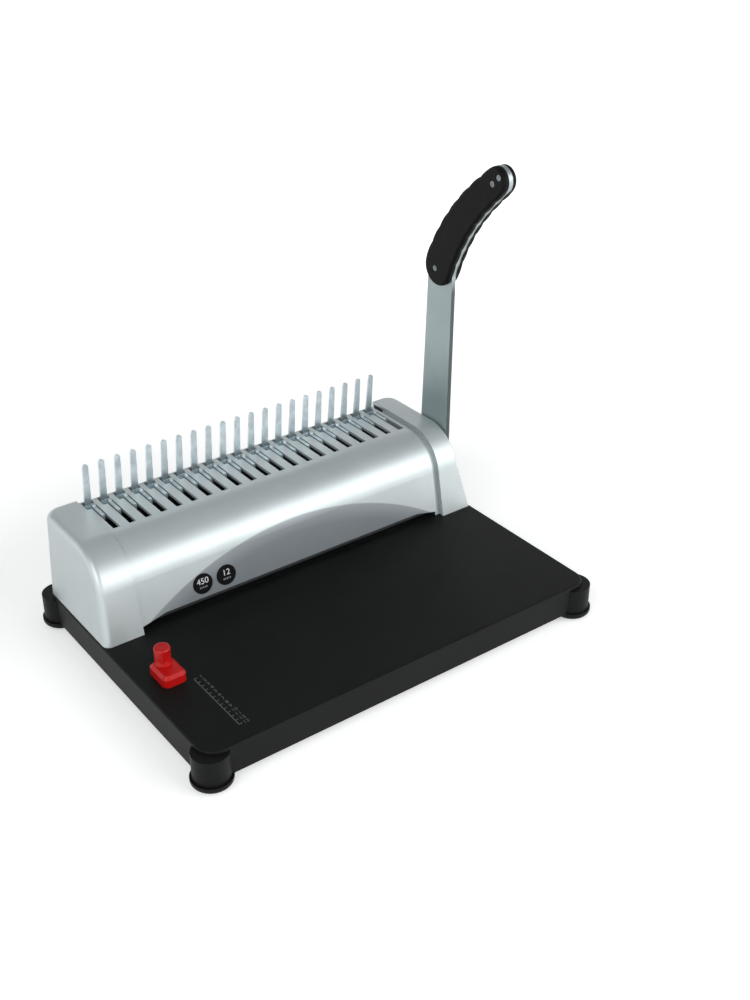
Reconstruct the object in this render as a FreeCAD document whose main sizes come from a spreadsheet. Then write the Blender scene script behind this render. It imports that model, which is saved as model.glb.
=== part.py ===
"""Comb binding machine: a lever-driven punch and a comb opener on a flat base.

Units are millimetres. +Z is up, the user sits at -Y and the lever is on the +X side. The origin is on
the table, under the middle of the machine. Every size hangs on the cells of the sheet Dims.
"""
import FreeCAD
import Part
import Sketcher
import math
import os
import re

V = FreeCAD.Vector

DIMS = {
    # Base and feet
    "bed_z": 33, "base_left": 185, "base_right": 188, "base_half_depth": 132, "base_corner": 16,
    "base_wall": 3, "base_foot_z": 8, "bed_edge": 2, "foot_x": 177, "foot_y": 123.5, "foot_r": 16.3,
    "column_r": 14.5, "foot_top": 30, "foot_low": 2, "foot_edge": 4, "pad_r": 10.5,
    "rib_thick": 2, "rib_deep": 3, "rib_gap": 60, "rib_count": 6,
    # Comb row and the openings of the deck
    "pitch": 14.2875, "posts": 21, "comb_y": 121.5,
    "hole_left": 5, "hole_right": 4.5, "hole_front": 10, "hole_rear": 2.8, "slot_left": 1.35,
    "slot_front": 48.5,
    "post_wide": 6, "post_tip_wide": 5, "post_thick": 2, "post_tip_thick": 1.6, "post_rise": 38,
    "post_lean": 3.6, "post_bend": 1.5, "post_toe": 4.6, "post_rail_rear": 5.1, "post_rail_deep": 16,
    # Housing
    "deck_rise": 72, "cover_front": 96.5, "cover_rear": 8, "cover_half": 150, "shoulder": 36,
    "front_lean": 10.8, "rear_round": 5, "shell": 2.5, "cap_rise": 2, "cap_left": 184, "cap_right": 186,
    "cap_draft": 4.5, "cap_edge": 6, "cap_corner": 14, "knee_z": 80, "lever_edge": 1.5, "lever_corner": 10,
    "groove": 5.2, "seam": 0.3, "tongue_in": 2.8, "tongue_thick": 1.6, "tongue_run": 2.5, "tongue_rear": 6,
    "rim_thick": 1.5, "mouth_rise": 10, "mouth_end": 5, "mouth_half": 128, "mouth_deep": 12,
    "cover_screw_r": 1.75, "cover_head_r": 3.4, "cover_screw_rise": 58, "cover_screw_reach": 4.9,
    "badge_r": 8.8, "badge_thick": 0.6, "badge_x": 92, "badge_gap": 22, "badge_rise": 22,
    # Chassis
    "plate_x": 154, "plate_thick": 3, "plate_front": 32, "plate_rear": 126.8, "plate_top": 100,
    "plate_round": 29, "plate_slope": 7, "shaft_y": 67.5, "shaft_z": 77, "shaft_r": 7, "shaft_left": 161,
    "run_clear": 0.05, "bush_r": 10, "bush_flange_r": 13, "bush_flange": 2, "clip_r": 10, "clip_thick": 2,
    # Die, punch pins and their carriage
    "die_front": 30.5, "die_rear": 53.5, "die_thick": 5, "die_seat": 6, "die_ledge": 3, "throat": 4.6,
    "stop_front": 48.4, "pin_y": 43.8, "pin_wide": 8, "pin_deep": 3, "pin_clear": 0.15, "pin_tip": 38,
    "pin_roof": 4, "window_half": 148, "beam_half": 147.5, "beam_low": 68, "beam_high": 84,
    "beam_rear": 52.2, "keeper_thick": 2.5, "small_r": 1.5, "small_head_r": 2.8, "small_head": 1.8,
    "small_deep": 5, "guide_r": 2.5, "guide_steps": 7.5, "guide_y": 48.6, "guide_high": 90,
    "spring_r": 3.6, "spring_wire": 1.2, "spring_turns": 5, "spring_flats": 8, "spring_clear": 0.1,
    # Gears and racks
    "gear_module": 1.5, "gear_wide": 8, "punch_teeth": 14, "hook_teeth": 18, "tooth_play": 0.3,
    "press_angle": 20, "tooth_crest": 0.8, "tooth_root": 1.05,
    "punch_gear_x": 140, "hook_gear_x": 128, "punch_rack_low": 69, "punch_rack_high": 94,
    "hook_rack_front": 63.5,
    # Opener rail and hooks
    "rail_half": 151, "rail_low": 95, "rail_thick": 2.5, "rail_front": 88.5, "rail_rear": 112.5,
    "rail_hold": 4, "guide_floor": 3, "guide_roof": 2, "guide_back": 5, "blade_x": 1.5, "blade_thick": 3,
    "blade_front": 25, "blade_chamfer": 3, "blade_lift": 0.2, "hook_foot": 10.5, "hook_neck": 7.6,
    "hook_neck_rise": 3.8, "hook_back": 5.8, "hook_tip_back": 5.4, "hook_tip_front": 8.2,
    "hook_rise": 1.5, "hook_round": 2, "hook_throat": 9.4, "slide_clear": 0.1,
    # Lever and grip
    "lever_x": 177, "lever_thick": 4, "lever_lean": 1.7, "lever_half": 18.4, "lever_neck": 168.5,
    "recess_x": 176.2, "recess_r": 21, "lever_swing": 62, "spigot_r": 5, "spigot_step": 0.6,
    "screw_head_r": 9, "screw_head": 3.6, "screw_r": 3, "screw_long": 16,
    "bend_low": 40, "bend_low_turn": 21.1, "bend_high": 205.6, "bend_high_turn": 25.4, "grip_end": 32,
    "grip_back": 1.4, "grip_start": 162.5, "grip_low_half": 17, "grip_high_half": 11, "grip_low_round": 15,
    "grip_tip_round": 9, "grip_thick": 5, "grip_round": 2.8, "scallops": 7, "scallop_deep": 0.8,
    "scallop_round": 1.2, "rivet_r": 2, "rivet_head_r": 2.5, "rivet_head": 0.8, "rivet_well_r": 3,
    "rivet_well": 1.2, "rivet_low": 14.5, "rivet_low_back": 2.2, "rivet_high": 16, "rivet_tip": 6.4,
    # Edge guide
    "edge_x": -161, "edge_y": -35, "edge_wide": 20, "edge_long": 27, "edge_high": 9, "edge_corner": 5,
    "edge_bevel": 2.4, "edge_travel": 5, "stud_r": 2.5, "stud_clear": 0.3, "nut_wide": 11, "nut_thick": 4,
    "knob_y": -28.5, "knob_high": 15, "knob_foot_r": 7, "knob_waist_r": 6.1, "knob_waist": 4,
    "knob_top_r": 6.5, "knob_brim": 11, "knob_round": 2, "knob_dish": 0.3,
    # Chip drawer
    "drawer_half": 148, "drawer_front": 28, "drawer_low": 9.5, "drawer_high": 23.5, "drawer_wall": 1.6,
    "drawer_clear": 0.5, "drawer_rail": 2.4, "drawer_lip": 4,
}

doc = FreeCAD.newDocument("CombBinder")
sheet = doc.addObject("Spreadsheet::Sheet", "Dims")
for line, (alias, size) in enumerate(DIMS.items(), start=1):
    sheet.set("A%d" % line, alias)
    sheet.set("B%d" % line, str(size))
    sheet.setAlias("B%d" % line, alias)
doc.recompute()

ALIASES = re.compile(r"\b(%s)\b" % "|".join(DIMS))
NODES = []


def ex(text):
    """Turn a formula in cell names into an expression on the sheet."""
    return ALIASES.sub(r"Dims.\1", str(text))


def num(text):
    """Value of a formula in cell names."""
    return float(sheet.evalExpression(ex(text)))


def node(thing, label):
    """Name a finished sub-part and put it on the list of files."""
    thing.Label = label
    NODES.append(thing)
    return thing


def new_body(name):
    """Empty body."""
    return doc.addObject("PartDesign::Body", name)


def origin_part(body, role):
    """Origin plane or axis of a body."""
    return [f for f in body.Origin.OriginFeatures if f.Role == role][0]


def sketch_on(body, role, offset):
    """Sketch parallel to an origin plane, offset along the plane's normal."""
    sketch = body.newObject("Sketcher::SketchObject", "Sketch")
    sketch.AttachmentSupport = [(origin_part(body, role), "")]
    sketch.MapMode = "FlatFace"
    sketch.setExpression("AttachmentOffset.Base.z", ex(offset))
    return sketch


def arc_between(start, end, radius, turn):
    """Arc shorter than a half circle, turning left (+1) or right (-1) from start to end."""
    chord = end - start
    rise = math.sqrt(radius ** 2 - chord.Length ** 2 / 4)
    left = V(-chord.y, chord.x, 0).normalize()
    centre = (start + end) * 0.5 + left * (rise * turn)
    first, last = (start, end) if turn > 0 else (end, start)
    angles = [math.atan2(p.y - centre.y, p.x - centre.x) for p in (first, last)]
    return Part.ArcOfCircle(Part.Circle(centre, V(0, 0, 1), radius), *angles)


def outline(sketch, corners):
    """Closed outline; a corner (u, v, radius, turn) starts an arc, a corner (u, v) a straight line."""
    places = [V(num(c[0]), num(c[1]), 0) for c in corners]
    count = len(corners)
    ends = []
    for i, corner in enumerate(corners):
        after = places[(i + 1) % count]
        if len(corner) == 2:
            index = sketch.addGeometry(Part.LineSegment(places[i], after), False)
            ends.append((index, 1, 2))
        else:
            index = sketch.addGeometry(arc_between(places[i], after, num(corner[2]), corner[3]), False)
            ends.append((index, 1, 2) if corner[3] > 0 else (index, 2, 1))
    for i, (index, first, last) in enumerate(ends):
        after = ends[(i + 1) % count]
        sketch.addConstraint(Sketcher.Constraint("Coincident", index, last, after[0], after[1]))
    for i, corner in enumerate(corners):
        index, first, last = ends[i]
        spots = (("DistanceX", corner[0], places[i].x), ("DistanceY", corner[1], places[i].y))
        for kind, formula, value in spots:
            at = sketch.addConstraint(Sketcher.Constraint(kind, -1, 1, index, first, value))
            sketch.setExpression("Constraints[%d]" % at, ex(formula))
        if len(corner) > 2:
            at = sketch.addConstraint(Sketcher.Constraint("Radius", index, num(corner[2])))
            sketch.setExpression("Constraints[%d]" % at, ex(corner[2]))


def ring(sketch, u, v, radius):
    """Circle placed and sized by formulas."""
    index = sketch.addGeometry(Part.Circle(V(num(u), num(v), 0), V(0, 0, 1), num(radius)), False)
    for kind, formula in (("DistanceX", u), ("DistanceY", v)):
        at = sketch.addConstraint(Sketcher.Constraint(kind, -1, 1, index, 3, num(formula)))
        sketch.setExpression("Constraints[%d]" % at, ex(formula))
    at = sketch.addConstraint(Sketcher.Constraint("Radius", index, num(radius)))
    sketch.setExpression("Constraints[%d]" % at, ex(radius))


def box_corners(u_low, v_low, u_high, v_high):
    """Corners of an upright rectangle."""
    return [(u_low, v_low), (u_high, v_low), (u_high, v_high), (u_low, v_high)]


def pad(body, role, start, length, corners=(), rings=()):
    """Pad an outline from start along the plane's normal."""
    sketch = sketch_on(body, role, start)
    if corners:
        outline(sketch, corners)
    for circle in rings:
        ring(sketch, *circle)
    feature = body.newObject("PartDesign::Pad", "Pad")
    feature.Profile = sketch
    feature.setExpression("Length", ex(length))
    doc.recompute()
    return feature


def pocket(body, role, start, length, corners=(), rings=()):
    """Cut an outline away from start along the plane's normal."""
    before = body.Shape.Volume
    sketch = sketch_on(body, role, start)
    if corners:
        outline(sketch, corners)
    for circle in rings:
        ring(sketch, *circle)
    feature = body.newObject("PartDesign::Pocket", "Pocket")
    feature.Profile = sketch
    feature.Type = "Length"
    feature.Reversed = True
    feature.setExpression("Length", ex(length))
    doc.recompute()
    if body.Shape.Volume >= before:
        raise RuntimeError("a pocket of %s cuts nothing" % body.Name)
    return feature


def repeat(body, features, length, count):
    """Repeat features in a row along +X."""
    row = body.newObject("PartDesign::LinearPattern", "Row")
    row.Originals = features
    row.Direction = (origin_part(body, "X_Axis"), [""])
    row.setExpression("Length", ex(length))
    row.setExpression("Occurrences", ex(count))
    body.Tip = row
    doc.recompute()
    return row


def dress_edges(body, kind, cell, wanted, size):
    """Fillet or chamfer the edges of the body's last feature that the test picks."""
    base = body.Tip
    names = ["Edge%d" % (i + 1) for i, edge in enumerate(base.Shape.Edges) if wanted(edge)]
    feature = body.newObject(kind, "EdgeDress")
    feature.Base = (base, names)
    feature.setExpression(cell, ex(size))
    body.Tip = feature
    doc.recompute()


def round_edges(body, wanted, radius):
    """Fillet the edges that the test picks."""
    dress_edges(body, "PartDesign::Fillet", "Radius", wanted, radius)


def bevel_edges(body, wanted, size):
    """Chamfer the edges that the test picks."""
    dress_edges(body, "PartDesign::Chamfer", "Size", wanted, size)


def turned(body, corners):
    """Turn an outline of (radius, height) corners about the body's own Z axis."""
    sketch = sketch_on(body, "XZ_Plane", "0")
    outline(sketch, corners)
    feature = body.newObject("PartDesign::Revolution", "Turning")
    feature.Profile = sketch
    feature.ReferenceAxis = (sketch, ["V_Axis"])
    doc.recompute()


def samples(edge):
    """Three points along an edge."""
    low, high = edge.ParameterRange
    return [edge.valueAt(low + (high - low) * part) for part in (0.0, 0.5, 1.0)]


def along(edge, axis):
    """True where a straight edge runs along an axis."""
    straight = edge.Curve.TypeId == "Part::GeomLine"
    return straight and abs(edge.tangentAt(edge.FirstParameter).dot(axis)) > 0.999


def level(edge, height):
    """True where an edge lies at a height."""
    return all(abs(p.z - height) < 0.01 for p in samples(edge))


def upright_at(edge, x):
    """True where an edge lies in a plane across X."""
    return all(abs(p.x - x) < 0.01 for p in samples(edge))


def cylinder(name, axis, x, y, z, radius, length):
    """Part cylinder from a point along an axis."""
    thing = doc.addObject("Part::Cylinder", name)
    thing.Placement = FreeCAD.Placement(V(), FreeCAD.Rotation(V(0, 0, 1), axis))
    for cell, formula in (("Placement.Base.x", x), ("Placement.Base.y", y), ("Placement.Base.z", z),
                          ("Radius", radius), ("Height", length)):
        thing.setExpression(cell, ex(formula))
    return thing


def block(name, low, high):
    """Part box between two corners given by formulas."""
    thing = doc.addObject("Part::Box", name)
    for cell, formula in zip("xyz", low):
        thing.setExpression("Placement.Base." + cell, ex(formula))
    for cell, first, last in zip(("Length", "Width", "Height"), low, high):
        thing.setExpression(cell, ex("(%s) - (%s)" % (last, first)))
    return thing


def cut(name, base, tool):
    """One solid less another."""
    thing = doc.addObject("Part::Cut", name)
    thing.Base = base
    thing.Tool = tool
    return thing


def fuse(name, parts):
    """Several solids joined to one."""
    thing = doc.addObject("Part::MultiFuse", name)
    thing.Shapes = parts
    return thing


def group(name, parts):
    """Separate solids of one kind under one name."""
    thing = doc.addObject("Part::Compound", name)
    thing.Links = parts
    return thing


SIDES = (("left", -1), ("right", 1))


# Base, feet and edge guide

def base_plan(inset):
    """Plan of the base, drawn in from its edge."""
    deep = "(base_half_depth - %s)" % inset
    return box_corners("-(base_left - %s)" % inset, "-" + deep, "base_right - %s" % inset, deep)


def foot_rings(radius):
    """Rings at the four corners of the base."""
    return [("%s * foot_x" % sx, "%s * foot_y" % sy, radius) for sx in (-1, 1) for sy in (-1, 1)]


def base_tray():
    """Moulded base: a tray open below, with corner columns, the die's seat and the drawer's mouth."""
    body = new_body("BaseTray")
    pad(body, "XY_Plane", "base_foot_z", "bed_z - base_foot_z", base_plan("0"))
    round_edges(body, lambda e: along(e, V(0, 0, 1)), "base_corner")
    round_edges(body, lambda e: level(e, num("bed_z")), "bed_edge")
    pocket(body, "XY_Plane", "base_foot_z", "bed_z - base_foot_z - base_wall", base_plan("base_wall"))
    pad(body, "XY_Plane", "base_foot_z", "foot_top - base_foot_z", rings=foot_rings("column_r"))
    pad(body, "XY_Plane", "foot_low", "base_foot_z - foot_low", rings=foot_rings("foot_r"))
    round_edges(body, lambda e: level(e, num("foot_low")), "foot_edge")
    seat = box_corners("-plate_x - die_seat", "die_front - die_seat",
                       "plate_x + die_seat", "die_rear + die_seat")
    roof = "drawer_high + drawer_clear"
    pad(body, "XY_Plane", roof, "bed_z - base_wall - (%s)" % roof, seat)
    first = "(-(rib_count - 1) / 2 * rib_gap)"
    rib = box_corners(first, "-base_half_depth + base_wall", first + " + rib_thick", "die_front - die_seat")
    ribs = pad(body, "XY_Plane", "bed_z - base_wall - rib_deep", "rib_deep", rib)
    repeat(body, [ribs], "(rib_count - 1) * rib_gap", "rib_count")
    pocket(body, "XY_Plane", "bed_z - die_thick", "die_thick + 1",
           box_corners("-plate_x", "die_front", "plate_x", "die_rear"))
    pocket(body, "XY_Plane", "base_foot_z", "bed_z",
           box_corners("-window_half", "die_front + die_ledge", "window_half", "die_rear - die_ledge"))
    mouth = box_corners("-drawer_half - drawer_clear", "base_foot_z - 1", "drawer_half + drawer_clear", roof)
    pocket(body, "XZ_Plane", "-base_half_depth - 1", "base_wall + 2", mouth)
    room = "(stud_r + stud_clear)"
    slot = box_corners("edge_x - edge_travel - " + room, "edge_y - " + room,
                       "edge_x + edge_travel + " + room, "edge_y + " + room)
    pocket(body, "XY_Plane", "bed_z - base_wall - 1", "base_wall + 2", slot)
    return node(body, "base_tray")


def rubber_feet():
    """Soft pads under the four corner columns."""
    pads = [cylinder("FootPad", V(0, 0, 1), "%s * foot_x" % sx, "%s * foot_y" % sy, "0", "pad_r", "foot_low")
            for sx in (-1, 1) for sy in (-1, 1)]
    return node(group("FootPads", pads), "rubber_feet")


def edge_guide():
    """Side stop for the sheets: a bevelled block on a stud that runs in a slot of the bed."""
    body = new_body("EdgeGuide")
    pad(body, "XY_Plane", "bed_z + slide_clear", "edge_high",
        box_corners("edge_x - edge_wide / 2", "edge_y - edge_long / 2",
                    "edge_x + edge_wide / 2", "edge_y + edge_long / 2"))
    round_edges(body, lambda e: along(e, V(0, 0, 1)), "edge_corner")
    bevel_edges(body, lambda e: level(e, num("bed_z + slide_clear + edge_high")), "edge_bevel")
    under = "bed_z - base_wall - nut_thick"
    stud = [("edge_x", "edge_y", "stud_r")]
    pad(body, "XY_Plane", under, "base_wall + nut_thick + slide_clear", rings=stud)
    node(body, "edge_guide")
    nut = cut("GuideNut",
              block("NutBlock", ("edge_x - nut_wide / 2", "edge_y - nut_wide / 2", under),
                    ("edge_x + nut_wide / 2", "edge_y + nut_wide / 2", "bed_z - base_wall - slide_clear")),
              cylinder("NutBore", V(0, 0, 1), "edge_x", "edge_y", under + " - 1", "stud_r", "nut_thick + 2"))
    return node(nut, "guide_nut")


def guide_knob():
    """Clamp knob of the side stop: a waisted turning with a round brim and a dished top."""
    body = new_body("GuideKnob")
    brim = "(knob_top_r - knob_round)"
    turned(body, [
        ("0", "0"), ("knob_foot_r", "0"), ("knob_waist_r", "knob_waist"), ("knob_top_r", "knob_brim"),
        ("knob_top_r", "knob_high - knob_round", "knob_round", 1), (brim, "knob_high"),
        ("0", "knob_high - knob_dish")])
    places = ("edge_x", "knob_y", "bed_z + 2 * slide_clear + edge_high")
    for cell, formula in zip("xyz", places):
        body.setExpression("Placement.Base." + cell, ex(formula))
    return node(body, "guide_knob")


# Housing

def profile(inset, foot, rear_edge="rear_round"):
    """Side outline of the housing, drawn in from the middle cover's skin, standing at height foot."""
    top = "(bed_z + deck_rise - (%s))" % inset
    bend = "(shoulder - (%s))" % inset
    rear = "(comb_y + cover_rear - (%s))" % inset
    front = "(comb_y - cover_front + (%s) / cos(front_lean))" % inset
    middle = "(%s + (%s + (%s - %s - bed_z) * sin(front_lean)) / cos(front_lean))" % (front, bend, top, bend)
    curve = [
        (middle, top, bend, 1),
        ("%s - %s * cos(front_lean)" % (middle, bend), "%s - %s + %s * sin(front_lean)" % (top, bend, bend)),
        ("%s + (%s - bed_z) * tan(front_lean)" % (front, foot), foot),
    ]
    if not rear_edge:
        return [(rear, foot), (rear, top)] + curve
    corner = "(%s - (%s))" % (rear_edge, inset)
    rounded = [(rear, "%s - %s" % (top, corner), corner, 1), ("%s - %s" % (rear, corner), top)]
    return [(rear, foot)] + rounded + curve


def cover_spots(radius):
    """Rings for the screws in the rear wall of the middle cover."""
    return [("%s * pitch" % step, "bed_z + cover_screw_rise", radius) for step in (-9, -3, 3, 9)]


def centre_cover():
    """Middle cover: a curved shell with the deck's keyholes and the raised edge over the paper mouth."""
    body = new_body("CentreCover")
    pad(body, "YZ_Plane", "-cover_half", "2 * cover_half", profile("0", "bed_z"))
    pocket(body, "YZ_Plane", "-cover_half - 1", "2 * cover_half + 2", profile("shell", "bed_z - 1"))
    mouth = [("-cover_half - 1", "bed_z - 1"), ("cover_half + 1", "bed_z - 1"),
             ("cover_half + 1", "bed_z + mouth_end"), ("mouth_half", "bed_z + mouth_rise"),
             ("-mouth_half", "bed_z + mouth_rise"), ("-cover_half - 1", "bed_z + mouth_end")]
    pocket(body, "XZ_Plane", "-(comb_y - cover_front + mouth_deep)", "2 * mouth_deep", mouth)
    first = "(-(posts - 1) / 2 * pitch)"
    keyhole = [
        (first + " - hole_left", "comb_y + hole_rear"), (first + " - hole_left", "comb_y - hole_front"),
        (first + " - slot_left", "comb_y - hole_front"), (first + " - slot_left", "comb_y - slot_front"),
        (first + " + hole_right", "comb_y - slot_front"), (first + " + hole_right", "comb_y + hole_rear"),
    ]
    feature = pocket(body, "XY_Plane", "bed_z + deck_rise - shell - 1", "shell + 2", keyhole)
    repeat(body, [feature], "(posts - 1) * pitch", "posts")
    pocket(body, "XZ_Plane", "-(comb_y + cover_rear + 1)", "shell + 2", rings=cover_spots("cover_screw_r"))
    node(body, "centre_cover")
    screws = new_body("CoverScrews")
    face = "comb_y + cover_rear"
    pad(screws, "XZ_Plane", "-(%s)" % face, "cover_screw_reach", rings=cover_spots("cover_screw_r"))
    pad(screws, "XZ_Plane", "-(%s + small_head)" % face, "small_head", rings=cover_spots("cover_head_r"))
    return node(screws, "cover_screws")


def cap_solid(name, start, length, inset, foot):
    """Bar with the section of an end cap, square at the rear top edge."""
    body = new_body(name)
    pad(body, "YZ_Plane", start, length, profile("(%s) - cap_rise" % inset, foot, ""))
    return body


def shape_cap(body, side, slope, inset, corner, edge):
    """Lean a cap's end along a line of (x, z) corners, then round its rear corner and its end's edges."""
    top = "(bed_z + deck_rise + cap_rise)"
    last = slope[-1][0]
    far = "(%s + %s * 10)" % (slope[0][0], side)
    off = slope + [(last, top + " + 1"), (far, top + " + 1"), (far, slope[0][1])]
    pocket(body, "XZ_Plane", "-(comb_y + cover_rear + 20)", "cover_front + cover_rear + 40", off)
    rear = num("comb_y + cover_rear + cap_rise - (%s)" % inset)
    high = num("%s - (%s)" % (top, inset))
    near = num(last)
    turn = num(corner)

    def rear_corner(e):
        points = samples(e)
        outer = all(side * p.x > side * near - 0.01 for p in points)
        return outer and not along(e, V(1, 0, 0)) and all(abs(p.y - rear) < 0.01 for p in points)

    def end_edge(e):
        points = samples(e)
        heights = [p.z for p in points]
        ahead = min(p.y for p in points) < rear - turn - 1
        outer = all(side * p.x > side * near - 0.01 for p in points) and max(heights) > num("bed_z") + 1
        fold = along(e, V(0, 1, 0)) and heights[1] < high - 1
        behind = level(e, high) and along(e, V(1, 0, 0)) and abs(points[0].y - rear) < 0.01
        bend = level(e, high) and e.Curve.TypeId != "Part::GeomLine"
        return (outer and ahead and not fold) or behind or bend

    round_edges(body, rear_corner, corner)
    round_edges(body, end_edge, edge)


def cap_rim(name, side, inner):
    """Rim of a cap and the tongue that slips under the middle cover, along the front and the top."""
    depth = "tongue_in + tongue_thick"
    body = new_body(name)
    reach = "tongue_run + groove" if side > 0 else "tongue_run + seam"
    start = "%s - (%s)" % (inner, reach) if side > 0 else "-(%s)" % inner
    pad(body, "YZ_Plane", start, reach, profile("tongue_in", "bed_z + mouth_rise"))
    rim = inner if side > 0 else "-(%s) - rim_thick" % inner
    pad(body, "YZ_Plane", rim, "rim_thick", profile("0", "bed_z + mouth_rise"))
    low = "%s - (%s) - 1" % (inner, reach) if side > 0 else "-(%s) - rim_thick - 1" % inner
    through = reach + " + rim_thick + 2"
    pocket(body, "YZ_Plane", low, through, profile(depth, "bed_z"))
    behind = box_corners("comb_y - tongue_rear", "bed_z", "comb_y + cover_rear + 1", "bed_z + deck_rise + 5")
    pocket(body, "YZ_Plane", low, through, behind)
    return body


def left_end_cap():
    """Hollow left cap, well rounded round its end."""
    inner = "(cover_half + seam)"
    top = "bed_z + deck_rise + cap_rise"
    halves = []
    for name, inset, near, foot in (("LeftCapSkin", "0", inner, "bed_z"),
                                    ("LeftCapHollow", "shell", inner + " - 1", "bed_z - 1")):
        end = "(cap_left - %s)" % inset
        body = cap_solid(name, "-" + end, "%s - (%s)" % (end, near), inset, foot)
        slope = [("-" + end, "bed_z"), ("-(%s - cap_draft)" % end, top)]
        shape_cap(body, -1, slope, inset, "cap_corner - " + inset, "cap_edge - " + inset)
        halves.append(body)
    shell = cut("LeftCapShell", *halves)
    return node(fuse("LeftCap", [shell, cap_rim("LeftCapRim", -1, inner)]), "left_end_cap")


def right_end_cap():
    """Hollow right cap with a flared foot and the fan-shaped room that the lever swings in."""
    inner = "(cover_half + groove)"
    skin = cap_solid("RightCapSkin", inner, "cap_right - " + inner, "0", "bed_z")
    shape_cap(skin, 1, [("cap_right", "bed_z"), ("recess_x", "knee_z")], "0", "lever_corner", "lever_edge")
    turn = "(90 + lever_swing + lever_lean)"
    low_y = "shaft_y - recess_r * cos(lever_swing + lever_lean)"
    low_z = "shaft_z - recess_r * sin(lever_swing + lever_lean)"
    reach = "cover_front"
    above = "bed_z + deck_rise + 10"
    fan = [
        ("shaft_y + recess_r", above), ("shaft_y + recess_r", "shaft_z", "recess_r", -1), (low_y, low_z),
        ("%s + %s * cos(%s)" % (low_y, reach, turn), "%s + %s * sin(%s)" % (low_z, reach, turn)),
        ("%s + %s * cos(%s)" % (low_y, reach, turn), above),
    ]
    pocket(skin, "YZ_Plane", "recess_x", "20", fan)
    pocket(skin, "YZ_Plane", "recess_x - shell - 1", "20", rings=[("shaft_y", "shaft_z", "shaft_r + 1")])
    room = "recess_x - shell - %s + 1" % inner
    hollow = cap_solid("RightCapHollow", inner + " - 1", room, "shell", "bed_z - 1")
    shell = cut("RightCapShell", skin, hollow)
    return node(fuse("RightCap", [shell, cap_rim("RightCapRim", 1, inner)]), "right_end_cap")


def size_badges():
    """Two round plates on the front of the middle cover."""
    lean = math.radians(num("front_lean"))
    out = V(0, -math.cos(lean), math.sin(lean))
    badges = [cylinder("Badge", out, "-badge_x + %d * badge_gap" % i,
                       "comb_y - cover_front + badge_rise * tan(front_lean)", "bed_z + badge_rise",
                       "badge_r", "badge_thick") for i in range(2)]
    return node(group("Badges", badges), "size_badges")


# Chassis

def side_plates():
    """Steel cheeks that carry the shaft, and their flanged bushes."""
    for side, sign in SIDES:
        start = "plate_x" if sign > 0 else "-plate_x - plate_thick"
        body = new_body(side.title() + "Plate")
        pad(body, "YZ_Plane", start, "plate_thick", [
            ("plate_front", "bed_z"), ("plate_rear", "bed_z"), ("plate_rear", "plate_top"),
            ("plate_front + plate_slope + plate_round", "plate_top", "plate_round", 1),
            ("plate_front + plate_slope", "plate_top - plate_round")])
        pocket(body, "YZ_Plane", start + " - 1", "plate_thick + 2", rings=[("shaft_y", "shaft_z", "bush_r")])
        node(body, side + "_side_plate")
        body = new_body(side.title() + "Bush")
        inside = "plate_x - bush_flange" if sign > 0 else "-plate_x - plate_thick - bush_flange"
        pad(body, "YZ_Plane", inside, "plate_thick + 2 * bush_flange",
            rings=[("shaft_y", "shaft_z", "bush_r"), ("shaft_y", "shaft_z", "shaft_r + run_clear")])
        flange = "plate_x + plate_thick" if sign > 0 else "-plate_x - plate_thick - bush_flange"
        pad(body, "YZ_Plane", flange, "bush_flange",
            rings=[("shaft_y", "shaft_z", "bush_flange_r"), ("shaft_y", "shaft_z", "shaft_r + run_clear")])
        node(body, side + "_bush")


def pin_holes(body, low, length):
    """Row of rectangular holes for the punch pins."""
    first = "(-(posts - 1) / 2 * pitch)"
    hole = box_corners(first + " - pin_wide / 2 - pin_clear", "pin_y - pin_deep / 2 - pin_clear",
                       first + " + pin_wide / 2 + pin_clear", "pin_y + pin_deep / 2 + pin_clear")
    feature = pocket(body, "XY_Plane", low + " - 1", length + " + 2", hole)
    repeat(body, [feature], "(posts - 1) * pitch", "posts")


def dies():
    """Lower die set flush in the bed, pin guide above the throat and the stop for the sheets' edge."""
    for name, label, low in (("LowerDie", "lower_die", "bed_z - die_thick"),
                             ("PinGuide", "pin_guide", "bed_z + throat")):
        body = new_body(name)
        pad(body, "XY_Plane", low, "die_thick", box_corners("-plate_x", "die_front", "plate_x", "die_rear"))
        pin_holes(body, low, "die_thick")
        node(body, label)
    stop = block("BackStop", ("-plate_x", "stop_front", "bed_z"), ("plate_x", "die_rear", "bed_z + throat"))
    node(stop, "back_stop")
    foot = "bed_z + throat + die_thick"
    posts = [cylinder("GuidePost", V(0, 0, 1), "%s * guide_steps * pitch" % sign, "guide_y", foot,
                      "guide_r", "guide_high - (%s)" % foot) for sign in (-1, 1)]
    node(group("GuidePosts", posts), "guide_posts")


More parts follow.
